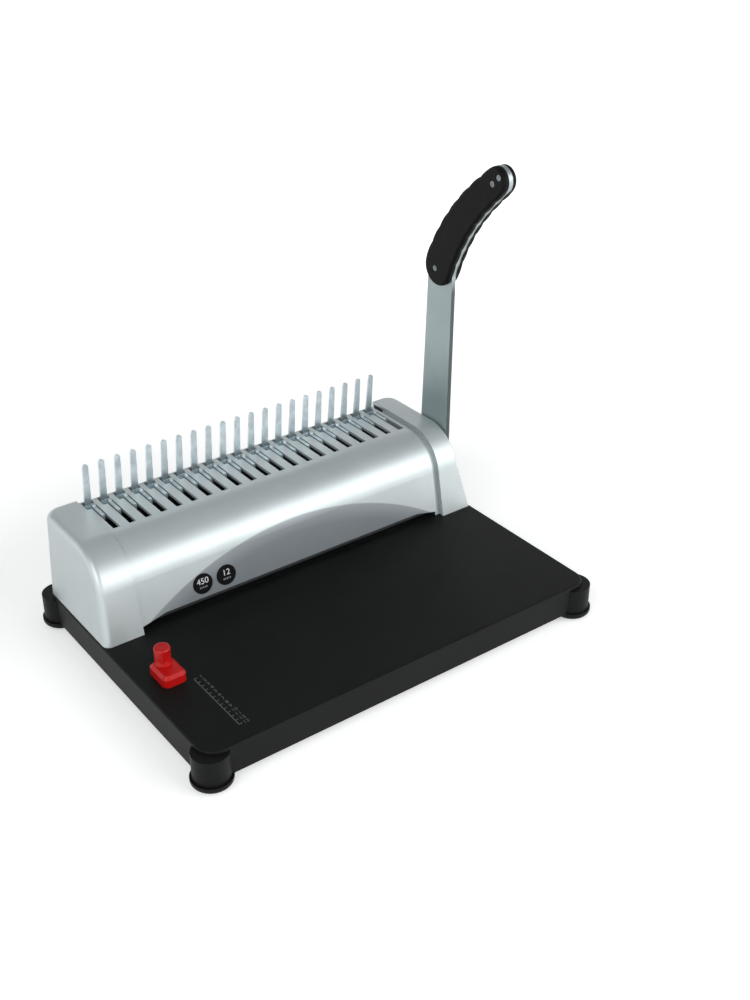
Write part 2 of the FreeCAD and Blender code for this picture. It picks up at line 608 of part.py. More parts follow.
def comb_posts():
    """Uprights that hold the comb open: strips bent at the foot, with round tips, on a folded rail."""
    rail = new_body("PostRail")
    foot = "(bed_z + deck_rise - shell - post_thick)"
    toe = "(comb_y - post_toe)"
    front = "(comb_y - post_thick / 2)"
    back = "(comb_y + post_thick / 2)"
    rear = "(comb_y + post_rail_rear)"
    fold = rear + " - post_thick"
    under = foot + " - post_thick"
    low = foot + " - post_rail_deep"
    pad(rail, "YZ_Plane", "-plate_x", "2 * plate_x", [
        (toe, under), (fold, under), (fold, low), (rear, low), (rear, under), (back, foot), (toe, foot)])
    pocket(rail, "XZ_Plane", "-%s - 1" % rear, "post_thick + 2", rings=cover_spots("cover_screw_r"))
    node(rail, "post_rail")
    body = new_body("CombPosts")
    first = "(-(posts - 1) / 2 * pitch)"
    bend = "(%s + post_thick + post_bend)" % foot
    tip = "(bed_z + deck_rise + post_rise)"
    strip = [
        (toe, foot), (front + " - post_bend", foot, "(post_thick + post_bend)", 1), (back, bend),
        (front + " - post_lean + post_tip_thick", tip), (front + " - post_lean", tip),
        (front, bend, "post_bend", -1), (front + " - post_bend", foot + " + post_thick"),
        (toe, foot + " + post_thick")]
    upright = pad(body, "YZ_Plane", first + " - post_wide / 2", "post_wide", strip)
    half = "post_tip_wide / 2"
    crown = tip + " - " + half
    blank = [
        (first + " - post_wide / 2 - 1", bend), (first + " - post_wide / 2", bend),
        (first + " - " + half, crown, half + " + 0.01", -1), (first + " + " + half, crown),
        (first + " + post_wide / 2", bend), (first + " + post_wide / 2 + 1", bend),
        (first + " + post_wide / 2 + 1", tip + " + 1"), (first + " - post_wide / 2 - 1", tip + " + 1")]
    trim = pocket(body, "XZ_Plane", "-(comb_y + 10)", "20", blank)
    repeat(body, [upright, trim], "(posts - 1) * pitch", "posts")
    return node(body, "comb_posts")


def hook_guides():
    """Grooved blocks on the cheeks that the opener rail slides in."""
    rail_high = "rail_low + rail_thick"
    blocks = []
    for side, sign in SIDES:
        body = new_body(side.title() + "Guide")
        start = "rail_half - rail_hold" if sign > 0 else "-plate_x"
        rear = "comb_y - guide_back"
        pad(body, "YZ_Plane", start, "plate_x - rail_half + rail_hold",
            box_corners("shaft_y", "rail_low - guide_floor", rear, rail_high + " + guide_roof"))
        start = "rail_half - rail_hold - 1" if sign > 0 else "-rail_half - seam"
        pocket(body, "YZ_Plane", start, "rail_hold + 1 + seam",
               box_corners("shaft_y - 1", "rail_low - slide_clear", "comb_y", rail_high + " + slide_clear"))
        blocks.append(body)
    return node(group("HookGuides", blocks), "hook_guides")


# Gears and racks

def gear_outline(teeth, start):
    """Involute stub-tooth outline about the shaft's axis, with a tooth at the angle start."""
    module = num("gear_module")
    pitch_r = module * teeth / 2
    base_r = pitch_r * math.cos(math.radians(num("press_angle")))
    root_r = pitch_r - num("tooth_root") * module
    tip_r = pitch_r + num("tooth_crest") * module
    half = math.pi / (2 * teeth) - num("tooth_play") / (4 * pitch_r)

    def flank(radius):
        turn = math.acos(min(1.0, base_r / radius))
        zero = math.acos(base_r / pitch_r)
        return half + (math.tan(zero) - zero) - (math.tan(turn) - turn)

    radii = [root_r, max(base_r, root_r + 0.1), pitch_r, tip_r]
    points = []
    for k in range(teeth):
        middle = start + 2 * math.pi * k / teeth
        points += [(r, middle - flank(r)) for r in radii]
        points += [(r, middle + flank(r)) for r in reversed(radii)]
    y, z = num("shaft_y"), num("shaft_z")
    corners = [V(0, y + r * math.cos(a), z + r * math.sin(a)) for r, a in points]
    return Part.Face(Part.makePolygon(corners + corners[:1]))


def pinion(name, label, teeth, start, middle):
    """Spur gear on the shaft, centred at x = middle."""
    wide = num("gear_wide")
    face = gear_outline(int(num(teeth)), start)
    face.translate(V(middle - wide / 2, 0, 0))
    end = V(middle - wide / 2, num("shaft_y"), num("shaft_z"))
    bore = Part.makeCylinder(num("shaft_r"), wide, end, V(1, 0, 0))
    thing = doc.addObject("Part::Feature", name)
    thing.Shape = face.extrude(V(wide, 0, 0)).cut(bore)
    return node(thing, label)


def rack_outline(low, high, back, contact):
    """Straight rack as (along, out) points: teeth out of a bar, with a tooth gap at along = contact."""
    module = num("gear_module")
    step = math.pi * module
    slope = math.tan(math.radians(num("press_angle")))
    half = step / 4 - num("tooth_play") / 4
    root = -num("tooth_root") * module
    crest = num("tooth_crest") * module
    points = [(low, back), (low, root)]
    k = math.ceil((low - contact) / step - 0.5)
    while contact + (k + 0.5) * step + half - root * slope < high:
        middle = contact + (k + 0.5) * step
        if middle - half + root * slope > low:
            points += [(middle - half + root * slope, root), (middle - half + crest * slope, crest),
                       (middle + half - crest * slope, crest), (middle + half - root * slope, root)]
        k += 1
    return points + [(high, root), (high, back)]


def punch_racks():
    """Upright racks that the punch pinions drive, on the back of the beam."""
    pitch_y = num("shaft_y - gear_module * punch_teeth / 2")
    wide = num("gear_wide")
    back = num("beam_rear") - pitch_y
    shape = rack_outline(num("punch_rack_low"), num("punch_rack_high"), back, num("shaft_z"))
    for side, sign in SIDES:
        start = sign * num("punch_gear_x") - wide / 2
        corners = [V(start, pitch_y + out, run) for run, out in shape]
        thing = doc.addObject("Part::Feature", side.title() + "PunchRack")
        thing.Shape = Part.Face(Part.makePolygon(corners + corners[:1])).extrude(V(wide, 0, 0))
        node(thing, side + "_punch_rack")


def hook_racks():
    """Racks under the opener rail, driven from below by the opener pinions."""
    pitch_z = num("shaft_z + gear_module * hook_teeth / 2")
    wide = num("gear_wide")
    shape = rack_outline(num("hook_rack_front"), num("rail_rear"), pitch_z - num("rail_low"), num("shaft_y"))
    for side, sign in SIDES:
        start = sign * num("hook_gear_x") - wide / 2
        corners = [V(start, run, pitch_z - out) for run, out in shape]
        thing = doc.addObject("Part::Feature", side.title() + "HookRack")
        thing.Shape = Part.Face(Part.makePolygon(corners + corners[:1])).extrude(V(wide, 0, 0))
        node(thing, side + "_hook_rack")


# Punch carriage

def keeper_spots(radius):
    """Rings for the keeper's screws, between the pins."""
    middle = "(beam_low + beam_high) / 2"
    return [("%s * pitch" % step, middle, radius) for step in (-8.5, -4.5, -0.5, 4.5, 8.5)]


def punch_carriage():
    """Beam that presses the pins down, the pins in its front grooves and the strip that keeps them."""
    body = new_body("PunchBeam")
    front = "(pin_y - pin_deep / 2)"
    rear = "pin_y + pin_deep / 2"
    first = "(-(posts - 1) / 2 * pitch)"
    high = "beam_high - beam_low"
    row = "(posts - 1) * pitch"
    pad(body, "XY_Plane", "beam_low", high, box_corners("-beam_half", front, "beam_half", "beam_rear"))
    groove = box_corners(first + " - pin_wide / 2", front + " - 1", first + " + pin_wide / 2", rear)
    feature = pocket(body, "XY_Plane", "beam_low - 1", high + " - pin_roof + 1", groove)
    repeat(body, [feature], row, "posts")
    pocket(body, "XY_Plane", "beam_low - 1", high + " + 2",
           rings=[("%s * guide_steps * pitch" % sign, "guide_y", "guide_r + run_clear") for sign in (-1, 1)])
    pocket(body, "XZ_Plane", "-" + front + " - small_deep", "small_deep + 1", rings=keeper_spots("small_r"))
    node(body, "punch_beam")
    pins = new_body("PunchPins")
    pin = box_corners(first + " - pin_wide / 2", front, first + " + pin_wide / 2", rear)
    feature = pad(pins, "XY_Plane", "pin_tip", "beam_high - pin_roof - pin_tip", pin)
    repeat(pins, [feature], row, "posts")
    node(pins, "punch_pins")
    keeper = new_body("PinKeeper")
    pad(keeper, "XY_Plane", "beam_low", high,
        box_corners("-beam_half", front + " - keeper_thick", "beam_half", front))
    pocket(keeper, "XZ_Plane", "-" + front + " - 1", "keeper_thick + 2", rings=keeper_spots("small_r"))
    node(keeper, "pin_keeper")
    screws = new_body("KeeperScrews")
    length = "small_deep + keeper_thick"
    pad(screws, "XZ_Plane", "-" + front + " - small_deep", length, rings=keeper_spots("small_r"))
    pad(screws, "XZ_Plane", "-" + front + " + keeper_thick", "small_head", rings=keeper_spots("small_head_r"))
    node(screws, "keeper_screws")


def bent(start, corner, end):
    """Arc from start to end that touches the two equal sides through a corner."""
    middle = (start + end) * 0.5
    rise = corner - middle
    half = (end - start).Length / 2
    lift = half * math.tan(math.atan2(rise.Length, half) / 2)
    return Part.Arc(start, middle + rise.normalize() * lift, end).toShape()


def biarc(start, way, end, last):
    """Two arcs that leave start along way, meet smoothly and reach end along last."""
    span = end - start
    slide = span.dot(way + last)
    bend = 2 * (1 - way.dot(last))
    reach = (math.sqrt(slide ** 2 + bend * span.dot(span)) - slide) / bend
    first, second = start + way * reach, end - last * reach
    joint = (first + second) * 0.5
    return [bent(start, first, joint), bent(joint, second, end)]


def return_springs():
    """Coil springs of drawn wire round the guide posts that push the beam up again."""
    low, high = num("bed_z + throat + die_thick"), num("beam_low")
    wire = num("spring_wire") / 2
    gap = num("spring_clear")
    halves = 2 * int(num("spring_turns"))
    step = (high - low - 2 * wire - 2 * gap) / halves
    radius = num("spring_r")

    def spot(half_turns):
        turn = half_turns * math.pi
        way = V(-math.sin(turn), math.cos(turn), step / (math.pi * radius)).normalize()
        return V(radius * math.cos(turn), radius * math.sin(turn), step * half_turns), way

    arcs = []
    for k in range(halves):
        arcs += biarc(*spot(k), *spot(k + 1))
    start, way = spot(0)
    side = way.cross(V(1, 0, 0))
    flats = int(num("spring_flats"))
    rim = [start + V(wire * math.cos(2 * math.pi * i / flats), 0, 0)
           + side * (wire * math.sin(2 * math.pi * i / flats)) for i in range(flats)]
    coil = Part.Wire(arcs).makePipeShell([Part.makePolygon(rim + rim[:1])], True, False)
    coils = [coil.translated(V(sign * num("guide_steps * pitch"), num("guide_y"), low + wire + gap))
             for sign in (-1, 1)]
    thing = doc.addObject("Part::Feature", "ReturnSprings")
    thing.Shape = Part.makeCompound(coils)
    return node(thing, "return_springs")


# Comb opener

def opener():
    """Sliding rail with the hooks that pull the comb's rings open."""
    foot = "(rail_low + rail_thick)"
    rail = block("HookRail", ("-rail_half", "rail_front", "rail_low"), ("rail_half", "rail_rear", foot))
    node(rail, "hook_rail")
    body = new_body("OpeningHooks")
    deck = "(bed_z + deck_rise)"
    top = deck + " + blade_lift"
    first = "(-(posts - 1) / 2 * pitch + blade_x - blade_thick / 2)"
    blade = [
        ("comb_y - blade_front + blade_chamfer", foot), ("comb_y - hook_foot", foot),
        ("comb_y - hook_neck", foot + " + hook_neck_rise"), ("comb_y - hook_back", deck + " - hook_rise"),
        ("comb_y - hook_tip_back", deck + " + hook_rise", "hook_round", 1),
        ("comb_y - hook_tip_front", deck + " + hook_rise"), ("comb_y - hook_throat", top),
        ("comb_y - blade_front", top), ("comb_y - blade_front", foot + " + blade_chamfer")]
    feature = pad(body, "YZ_Plane", first, "blade_thick", blade)
    repeat(body, [feature], "(posts - 1) * pitch", "posts")
    return node(body, "opening_hooks")


# Shaft, lever and grip

def main_shaft():
    """Shaft across the machine with a spigot for the lever, and the clip on its left end."""
    body = new_body("MainShaft")
    step = "recess_x + spigot_step"
    end = "lever_x + lever_thick"
    start = "-shaft_left - clip_thick"
    pad(body, "YZ_Plane", start, "shaft_left + clip_thick + " + step,
        rings=[("shaft_y", "shaft_z", "shaft_r")])
    pad(body, "YZ_Plane", step, "%s - (%s)" % (end, step), rings=[("shaft_y", "shaft_z", "spigot_r")])
    pocket(body, "YZ_Plane", end + " - screw_long", "screw_long + 1",
           rings=[("shaft_y", "shaft_z", "screw_r")])
    node(body, "main_shaft")
    body = new_body("ShaftClip")
    pad(body, "YZ_Plane", start, "clip_thick",
        rings=[("shaft_y", "shaft_z", "clip_r"), ("shaft_y", "shaft_z", "shaft_r")])
    node(body, "shaft_clip")


def lever_place():
    """Place of the lever's own frame: the pivot, leaning forward a little."""
    turn = FreeCAD.Rotation(V(1, 0, 0), num("lever_lean"))
    return FreeCAD.Placement(V(0, num("shaft_y"), num("shaft_z")), turn)


def grip_stretches():
    """Lengths and turns of the grip's middle line: straight, two bends towards the user, straight."""
    low, high = math.radians(num("bend_low_turn")), math.radians(num("bend_high_turn"))
    return [(num("lever_neck - grip_start"), 0.0), (num("bend_low") * low, low),
            (num("bend_high") * high, high), (num("grip_end"), 0.0)]


def grip_length():
    """Length of the grip along its middle line."""
    return sum(length for length, turn in grip_stretches())


def grip_spot(run, out):
    """Point a way up the grip's middle line and a distance out to the user's side, as (y, z)."""
    place = V(num("grip_back"), num("grip_start"), 0)
    heading = math.pi / 2
    for length, turn in grip_stretches():
        part = min(run, length)
        bend = turn * part / length
        chord = 2 * length / turn * math.sin(bend / 2) if turn else part
        middle = heading + bend / 2
        place += V(math.cos(middle), math.sin(middle), 0) * chord
        heading += bend
        run -= part
    return place + V(-math.sin(heading), math.cos(heading), 0) * out


def grip_edge(run, side, swell):
    """Point on the grip's front (+1) or rear (-1) edge; the grip narrows evenly towards its tip."""
    narrow = num("grip_low_half - grip_high_half") * run / grip_length()
    return grip_spot(run, side * (num("grip_low_half") - narrow + swell))


def bowed(start, middle, end):
    """Outline corner that starts an arc through three points, or a line where they lie in one."""
    chord = end - start
    rise = V(-chord.y, chord.x, 0).normalize().dot(middle - start)
    corner = ("%.5f" % start.x, "%.5f" % start.y)
    if abs(rise) < 0.01:
        return corner
    radius = (chord.Length ** 2 / 4 + rise ** 2) / (2 * abs(rise))
    return corner + ("%.6f" % radius, -1 if rise > 0 else 1)


def grip_stops():
    """Distances up the grip at which one shallow swell of its edges meets the next."""
    first, last = num("grip_low_round"), grip_length() - num("grip_tip_round")
    count = int(num("scallops"))
    return [first + (last - first) * k / count for k in range(count + 1)]


def grip_sides(swell):
    """Corners up the grip's rear edge, round its tip and down its front edge."""
    stops = grip_stops()
    spans = list(zip(stops, stops[1:]))
    rear = [bowed(grip_edge(a, -1, 0), grip_edge((a + b) / 2, -1, swell), grip_edge(b, -1, 0))
            for a, b in spans]
    front = [bowed(grip_edge(b, 1, 0), grip_edge((a + b) / 2, 1, swell), grip_edge(a, 1, 0))
             for a, b in reversed(spans)]
    tip = bowed(grip_edge(stops[-1], -1, 0), grip_spot(grip_length(), 0), grip_edge(stops[-1], 1, 0))
    return rear + [tip] + front


def rivet_rings(radius):
    """Rings for the grip's rivets: one low on the grip, two near its tip."""
    total = grip_length()
    spots = [grip_spot(num("rivet_low"), -num("rivet_low_back")),
             grip_spot(total - num("rivet_high"), 0), grip_spot(total - num("rivet_tip"), 0)]
    return [("%.4f" % p.x, "%.4f" % p.y, radius) for p in spots]


def lever_and_grip():
    """Flat steel lever, bent towards the user at the top, between two grip scales."""
    body = new_body("LeverArm")
    foot = grip_edge(grip_stops()[0], 1, 0)
    shank = [("%.5f" % foot.x, "%.5f" % foot.y), ("-lever_half", "0", "lever_half + 0.01", 1),
             ("lever_half", "0")]
    pad(body, "YZ_Plane", "lever_x", "lever_thick", shank + grip_sides(0))
    holes = [("0", "0", "spigot_r")] + rivet_rings("rivet_r")
    pocket(body, "YZ_Plane", "lever_x - 1", "lever_thick + 2", rings=holes)
    body.Placement = lever_place()
    node(body, "lever_arm")
    grip_scale("grip_inner", "lever_x - grip_thick", "lever_x - grip_thick", "lever_x - grip_thick")
    far = "lever_x + lever_thick + grip_thick"
    grip_scale("grip_outer", "lever_x + lever_thick", far, far + " - rivet_well")


def grip_scale(label, low, skin, well):
    """Half of the grip: swells along both edges, a round foot and tip, and sunk seats for the rivets."""
    body = new_body(label.title().replace("_", ""))
    stops = grip_stops()
    foot = bowed(grip_edge(stops[0], 1, 0), grip_spot(0, 0), grip_edge(stops[0], -1, 0))
    pad(body, "YZ_Plane", low, "grip_thick", [foot] + grip_sides(num("scallop_deep")))
    dips = [grip_edge(run, side, 0) for run in stops[1:-1] for side in (-1, 1)]

    def dip(e):
        at = e.Vertexes[0].Point
        return along(e, V(1, 0, 0)) and any(abs(at.y - p.x) + abs(at.z - p.y) < 0.01 for p in dips)

    face = num(skin)
    round_edges(body, dip, "scallop_round")
    round_edges(body, lambda e: upright_at(e, face), "grip_round")
    pocket(body, "YZ_Plane", low + " - 1", "grip_thick + 2", rings=rivet_rings("rivet_r"))
    pocket(body, "YZ_Plane", well, "rivet_well", rings=rivet_rings("rivet_well_r"))
    body.Placement = lever_place()
    return node(body, label)


def lever_screw():
    """Screw in the shaft's end that holds the lever on its spigot, with a hexagon socket."""
    body = new_body("LeverScrew")
    face = "lever_x + lever_thick"
    pad(body, "YZ_Plane", face, "screw_head", rings=[("shaft_y", "shaft_z", "screw_head_r")])
    rim = num(face + " + screw_head")
    bevel_edges(body, lambda e: upright_at(e, rim), "screw_head / 3")
    pad(body, "YZ_Plane", face + " - screw_long", "screw_long", rings=[("shaft_y", "shaft_z", "screw_r")])
    hexagon = [("shaft_y + screw_r * cos(%d)" % turn, "shaft_z + screw_r * sin(%d)" % turn)
               for turn in range(0, 360, 60)]
    pocket(body, "YZ_Plane", face + " + screw_head / 3", "screw_head", hexagon)
    return node(body, "lever_screw")


def grip_rivets():
    """Three rivets through the lever and both scales, their heads sunk in the scales."""
    body = new_body("GripRivets")
    low = "lever_x - grip_thick + rivet_well"
    high = "lever_x + lever_thick + grip_thick - rivet_well"
    pad(body, "YZ_Plane", low, "%s - (%s)" % (high, low), rings=rivet_rings("rivet_r"))
    pad(body, "YZ_Plane", low + " - rivet_head", "rivet_head", rings=rivet_rings("rivet_head_r"))
    pad(body, "YZ_Plane", high, "rivet_head", rings=rivet_rings("rivet_head_r"))
    body.Placement = lever_place()
    return node(body, "grip_rivets")


# Chip drawer

def chip_drawer():
    """Tray under the die for the punched chips, closing the base's rear mouth, on two rails."""
    body = new_body("ChipDrawer")
    pad(body, "XY_Plane", "drawer_low", "drawer_high - drawer_low",
        box_corners("-drawer_half", "drawer_front", "drawer_half", "base_half_depth"))
    pocket(body, "XY_Plane", "drawer_low + drawer_wall", "drawer_high",
           box_corners("-drawer_half + drawer_wall", "drawer_front + drawer_wall",
                       "drawer_half - drawer_wall", "base_half_depth - base_wall"))
    node(body, "chip_drawer")
    rails = []
    inside = "base_half_depth - base_wall"
    for side, sign in SIDES:
        body = new_body(side.title() + "Rail")
        near = "%s * (drawer_half + drawer_clear)" % sign
        far = "%s * (drawer_half + drawer_clear + drawer_rail)" % sign
        lip = "%s * (drawer_half - drawer_lip)" % sign
        top = "drawer_high + drawer_clear"
        shelf = "drawer_low - seam"
        pad(body, "XZ_Plane", "-(%s)" % inside, inside + " - die_front", [
            (far, "base_foot_z"), (far, top), (near, top), (near, shelf), (lip, shelf), (lip, "base_foot_z")])
        rails.append(body)
    node(group("DrawerRails", rails), "drawer_rails")


def check_and_write():
    """Stop on any failed object, then write one file for each sub-part."""
    doc.recompute()
    for thing in doc.Objects:
        if "Invalid" in thing.State or "Error" in thing.State:
            raise RuntimeError("%s failed: %s" % (thing.Label, thing.State))
    os.makedirs("parts", exist_ok=True)
    for thing in NODES:
        if thing.Shape.isNull() or not thing.Shape.isValid() or not thing.Shape.Solids:
            raise RuntimeError("%s has no valid solid" % thing.Label)
    for thing in NODES:
        thing.Shape.exportStep("parts/%s.step" % thing.Label)
        box = thing.Shape.BoundBox
        print("%-18s solids %2d volume %9.0f x %7.1f %7.1f y %7.1f %7.1f z %6.1f %6.1f" % (
            thing.Label, len(thing.Shape.Solids), thing.Shape.Volume,
            box.XMin, box.XMax, box.YMin, box.YMax, box.ZMin, box.ZMax))


base_tray()
rubber_feet()
edge_guide()
guide_knob()
centre_cover()
left_end_cap()
right_end_cap()
size_badges()
side_plates()
dies()
comb_posts()
hook_guides()
for word, way in SIDES:
    name = word.title()
    pinion(name + "PunchPinion", word + "_punch_pinion", "punch_teeth", math.pi, way * num("punch_gear_x"))
    pinion(name + "HookPinion", word + "_hook_pinion", "hook_teeth", math.pi / 2, way * num("hook_gear_x"))
punch_racks()
hook_racks()
punch_carriage()
return_springs()
opener()
main_shaft()
lever_and_grip()
lever_screw()
grip_rivets()
chip_drawer()
check_and_write()
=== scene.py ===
"""Comb binding machine: finishes, small fittings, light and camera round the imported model."""
import logging
import math
from dataclasses import dataclass
from enum import Enum

import bmesh
import bpy
from mathutils import Matrix, Vector


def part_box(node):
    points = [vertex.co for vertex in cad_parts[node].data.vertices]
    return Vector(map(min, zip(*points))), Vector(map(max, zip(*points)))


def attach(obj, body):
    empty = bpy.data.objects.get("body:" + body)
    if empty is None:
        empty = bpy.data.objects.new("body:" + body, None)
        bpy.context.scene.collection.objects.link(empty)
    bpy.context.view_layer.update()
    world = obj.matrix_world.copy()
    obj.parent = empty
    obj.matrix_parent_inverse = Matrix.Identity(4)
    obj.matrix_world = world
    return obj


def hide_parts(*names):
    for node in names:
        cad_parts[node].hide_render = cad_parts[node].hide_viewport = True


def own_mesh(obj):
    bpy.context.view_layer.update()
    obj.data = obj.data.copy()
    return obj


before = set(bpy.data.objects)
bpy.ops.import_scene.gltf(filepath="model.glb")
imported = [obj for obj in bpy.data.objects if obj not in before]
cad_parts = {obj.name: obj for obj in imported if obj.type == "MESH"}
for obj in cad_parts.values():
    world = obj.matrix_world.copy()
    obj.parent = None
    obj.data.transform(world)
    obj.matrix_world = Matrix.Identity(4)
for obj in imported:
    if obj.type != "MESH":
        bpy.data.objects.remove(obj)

log = logging.getLogger("comb_binder")
logging.basicConfig(level=logging.INFO, format="%(name)s: %(message)s")

Colour = tuple[float, float, float, float]
Point = tuple[float, float, float]
Material = bpy.types.Material
Mesh = bpy.types.Mesh
Node = bpy.types.Node
Socket = bpy.types.NodeSocket
Thing = bpy.types.Object
Tree = bpy.types.NodeTree

MM = 0.001
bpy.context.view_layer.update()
IMAGE_HIGH = 1000
# Colour sockets of a Mix node, whose names its other sockets share.
MIX_A, MIX_B, MIX_OUT = 6, 7, 2


class Axis(Enum):
    """Direction in which a brushed grain runs."""

    X = 0
    Y = 1
    Z = 2


class Outline(Enum):
    """Shape of the small solid that a row or ring repeats."""

    BLOCK = "block"
    PEG = "peg"


def linear(code: str) -> Colour:
    """Turn an sRGB hex colour into linear light.

    Args:
        code: colour such as "#8090A0".

    Returns:
        Linear red, green, blue and an alpha of one.
    """
    parts = [int(code[i:i + 2], 16) / 255 for i in (1, 3, 5)]
    light = [c / 12.92 if c <= 0.04045 else ((c + 0.055) / 1.055) ** 2.4 for c in parts]
    return light[0], light[1], light[2], 1.0


def add_node(tree: Tree, kind: str, options: dict | None = None, values: dict | None = None,
             links: dict | None = None) -> Node:
    """Add a node with its settings and links.

    Args:
        tree: node tree that gets the node.
        kind: type name of the node.
        options: attributes of the node.
        values: fixed values by input socket.
        links: source sockets by input socket.

    Returns:
        The new node.
    """
    node = tree.nodes.new(kind)
    for name, value in (options or {}).items():
        setattr(node, name, value)
    for name, value in (values or {}).items():
        node.inputs[name].default_value = value
    for name, source in (links or {}).items():
        tree.links.new(source, node.inputs[name])
    return node


def empty_tree(owner: Material | bpy.types.World) -> Tree:
    """Give a material or world an empty node tree.

    Args:
        owner: material or world.

    Returns:
        Its node tree.
    """
    owner.use_nodes = True
    owner.node_tree.nodes.clear()
    return owner.node_tree


@dataclass(frozen=True)
class Finish:
    """Surface of one material: a shader with a tone that wanders a little and a fine relief."""

    name: str
    colour: str
    roughness: float
    metallic: float = 0.0
    specular: float = 0.5
    gloss_spread: float = 0.06
    grain_mm: float = 0.8
    grain_high_mm: float = 0.02
    grain_detail: float = 2.0
    relief: float = 0.6
    mottle_mm: float = 40.0
    mottle: float = 0.05
    mottle_detail: float = 3.0
    mottle_from: float = 0.3
    mottle_to: float = 0.7

    def stretch(self) -> Point:
        """Stretch of the grain along X, Y and Z."""
        return 1.0, 1.0, 1.0

    def tone(self, tree: Tree, place: Socket) -> Socket:
        """Colour of the surface.

        Args:
            tree: node tree of the material.
            place: Object coordinates.

        Returns:
            Colour socket.
        """
        return self.wander(tree, place, self.colour)

    def wander(self, tree: Tree, place: Socket, code: str) -> Socket:
        """Let a colour grow a little darker and lighter over the surface.

        Args:
            tree: node tree of the material.
            place: Object coordinates.
            code: sRGB hex colour at the middle.

        Returns:
            Colour socket.
        """
        cloud = add_node(tree, "ShaderNodeTexNoise", links={"Vector": place}, values={
            "Scale": 1 / (self.mottle_mm * MM), "Detail": self.mottle_detail})
        ramp = add_node(tree, "ShaderNodeValToRGB", links={"Fac": cloud.outputs["Fac"]})
        ends = ((self.mottle_from, 1 - self.mottle), (self.mottle_to, 1 + self.mottle))
        for stop, (position, share) in zip(ramp.color_ramp.elements, ends):
            stop.color = [min(1.0, c * share) for c in linear(code)[:3]] + [1.0]
            stop.position = position
        return ramp.outputs["Color"]

    def material(self) -> Material:
        """Build the material once and hand out the same one after that.

        Returns:
            Blender material of this finish.
        """
        ready = bpy.data.materials.get(self.name)
        if ready:
            return ready
        skin = bpy.data.materials.new(self.name)
        tree = empty_tree(skin)
        place = add_node(tree, "ShaderNodeTexCoord").outputs["Object"]
        pull = add_node(tree, "ShaderNodeMapping", values={"Scale": self.stretch()},
                        links={"Vector": place})
        grain = add_node(tree, "ShaderNodeTexNoise", links={"Vector": pull.outputs["Vector"]},
                         values={"Scale": 1 / (self.grain_mm * MM), "Detail": self.grain_detail})
        relief = add_node(tree, "ShaderNodeBump", links={"Height": grain.outputs["Fac"]}, values={
            "Strength": self.relief, "Distance": self.grain_high_mm * MM})
        gloss = add_node(tree, "ShaderNodeMapRange", links={"Value": grain.outputs["Fac"]}, values={
            "To Min": self.roughness - self.gloss_spread,
            "To Max": self.roughness + self.gloss_spread})
        shader = add_node(tree, "ShaderNodeBsdfPrincipled", values={
            "Metallic": self.metallic, "Specular IOR Level": self.specular}, links={
            "Base Color": self.tone(tree, place), "Roughness": gloss.outputs["Result"],
            "Normal": relief.outputs["Normal"]})
        add_node(tree, "ShaderNodeOutputMaterial", links={"Surface": shader.outputs["BSDF"]})
        return skin


@dataclass(frozen=True)
class BrushedSteel(Finish):
    """Steel with drawn-out polishing lines along one axis."""

    lines: Axis = Axis.Z
    draw: float = 0.02

    def stretch(self) -> Point:
        """Grain drawn out along the polishing lines."""
        return tuple(self.draw if axis is self.lines else 1.0 for axis in Axis)


@dataclass(frozen=True)
class RisingSteel(BrushedSteel):
    """Steel strip with a second colour towards its foot, which paints the light and shade that fall
    along its height.
    """

    foot: str = "#A3B3B9"
    foot_z_mm: float = 105.0
    head_z_mm: float = 124.0

    def rise(self, tree: Tree, place: Socket, low: float, high: float) -> Socket:
        """Share that grows with the height over the floor.

        Args:
            tree: node tree of the material.
            place: Object coordinates.
            low: height in mm where the share is nought.
            high: height in mm where the share is one.

        Returns:
            Value socket.
        """
        level = add_node(tree, "ShaderNodeSeparateXYZ", links={"Vector": place}).outputs["Z"]
        return add_node(tree, "ShaderNodeMapRange", links={"Value": level}, values={
            "From Min": low * MM, "From Max": high * MM}).outputs["Result"]

    def tone(self, tree: Tree, place: Socket) -> Socket:
        """Head colour above and foot colour below, as painted light and shade along the height.

        Args:
            tree: node tree of the material.
            place: Object coordinates.

        Returns:
            Colour socket.
        """
        return add_node(tree, "ShaderNodeMix", {"data_type": "RGBA"}, links={
            "Factor": self.rise(tree, place, self.foot_z_mm, self.head_z_mm),
            MIX_A: self.wander(tree, place, self.foot),
            MIX_B: self.wander(tree, place, self.colour)}).outputs[MIX_OUT]


@dataclass(frozen=True)
class ShearedBar(RisingSteel):
    """Polished flat bar whose sheared edges stay dark, with a painted highlight on them near the
    top.
    """

    edge: str = "#4E5657"
    # Colour of the painted highlight on the edges near the top.
    edge_highlight: str = "#9FA8AA"
    highlight_low_mm: float = 236.0
    highlight_high_mm: float = 250.0

    def tone(self, tree: Tree, place: Socket) -> Socket:
        """Polished on the two wide faces, dark on the sheared edges and with a painted highlight on
        the edges near the top.

        Args:
            tree: node tree of the material.
            place: Object coordinates.

        Returns:
            Colour socket.
        """
        # Dark sheared edges below, a painted highlight on them near the top.
        edges = add_node(tree, "ShaderNodeMix", {"data_type": "RGBA"}, links={
            "Factor": self.rise(tree, place, self.highlight_low_mm, self.highlight_high_mm),
            MIX_A: self.wander(tree, place, self.edge),
            MIX_B: self.wander(tree, place, self.edge_highlight)})
        way = add_node(tree, "ShaderNodeNewGeometry").outputs["True Normal"]
        aside = add_node(tree, "ShaderNodeSeparateXYZ", links={"Vector": way}).outputs["X"]
        flat = add_node(tree, "ShaderNodeMath", {"operation": "ABSOLUTE"}, links={0: aside})
        return add_node(tree, "ShaderNodeMix", {"data_type": "RGBA"}, links={
            "Factor": flat.outputs["Value"], MIX_A: edges.outputs[MIX_OUT],
            MIX_B: super().tone(tree, place)}).outputs[MIX_OUT]


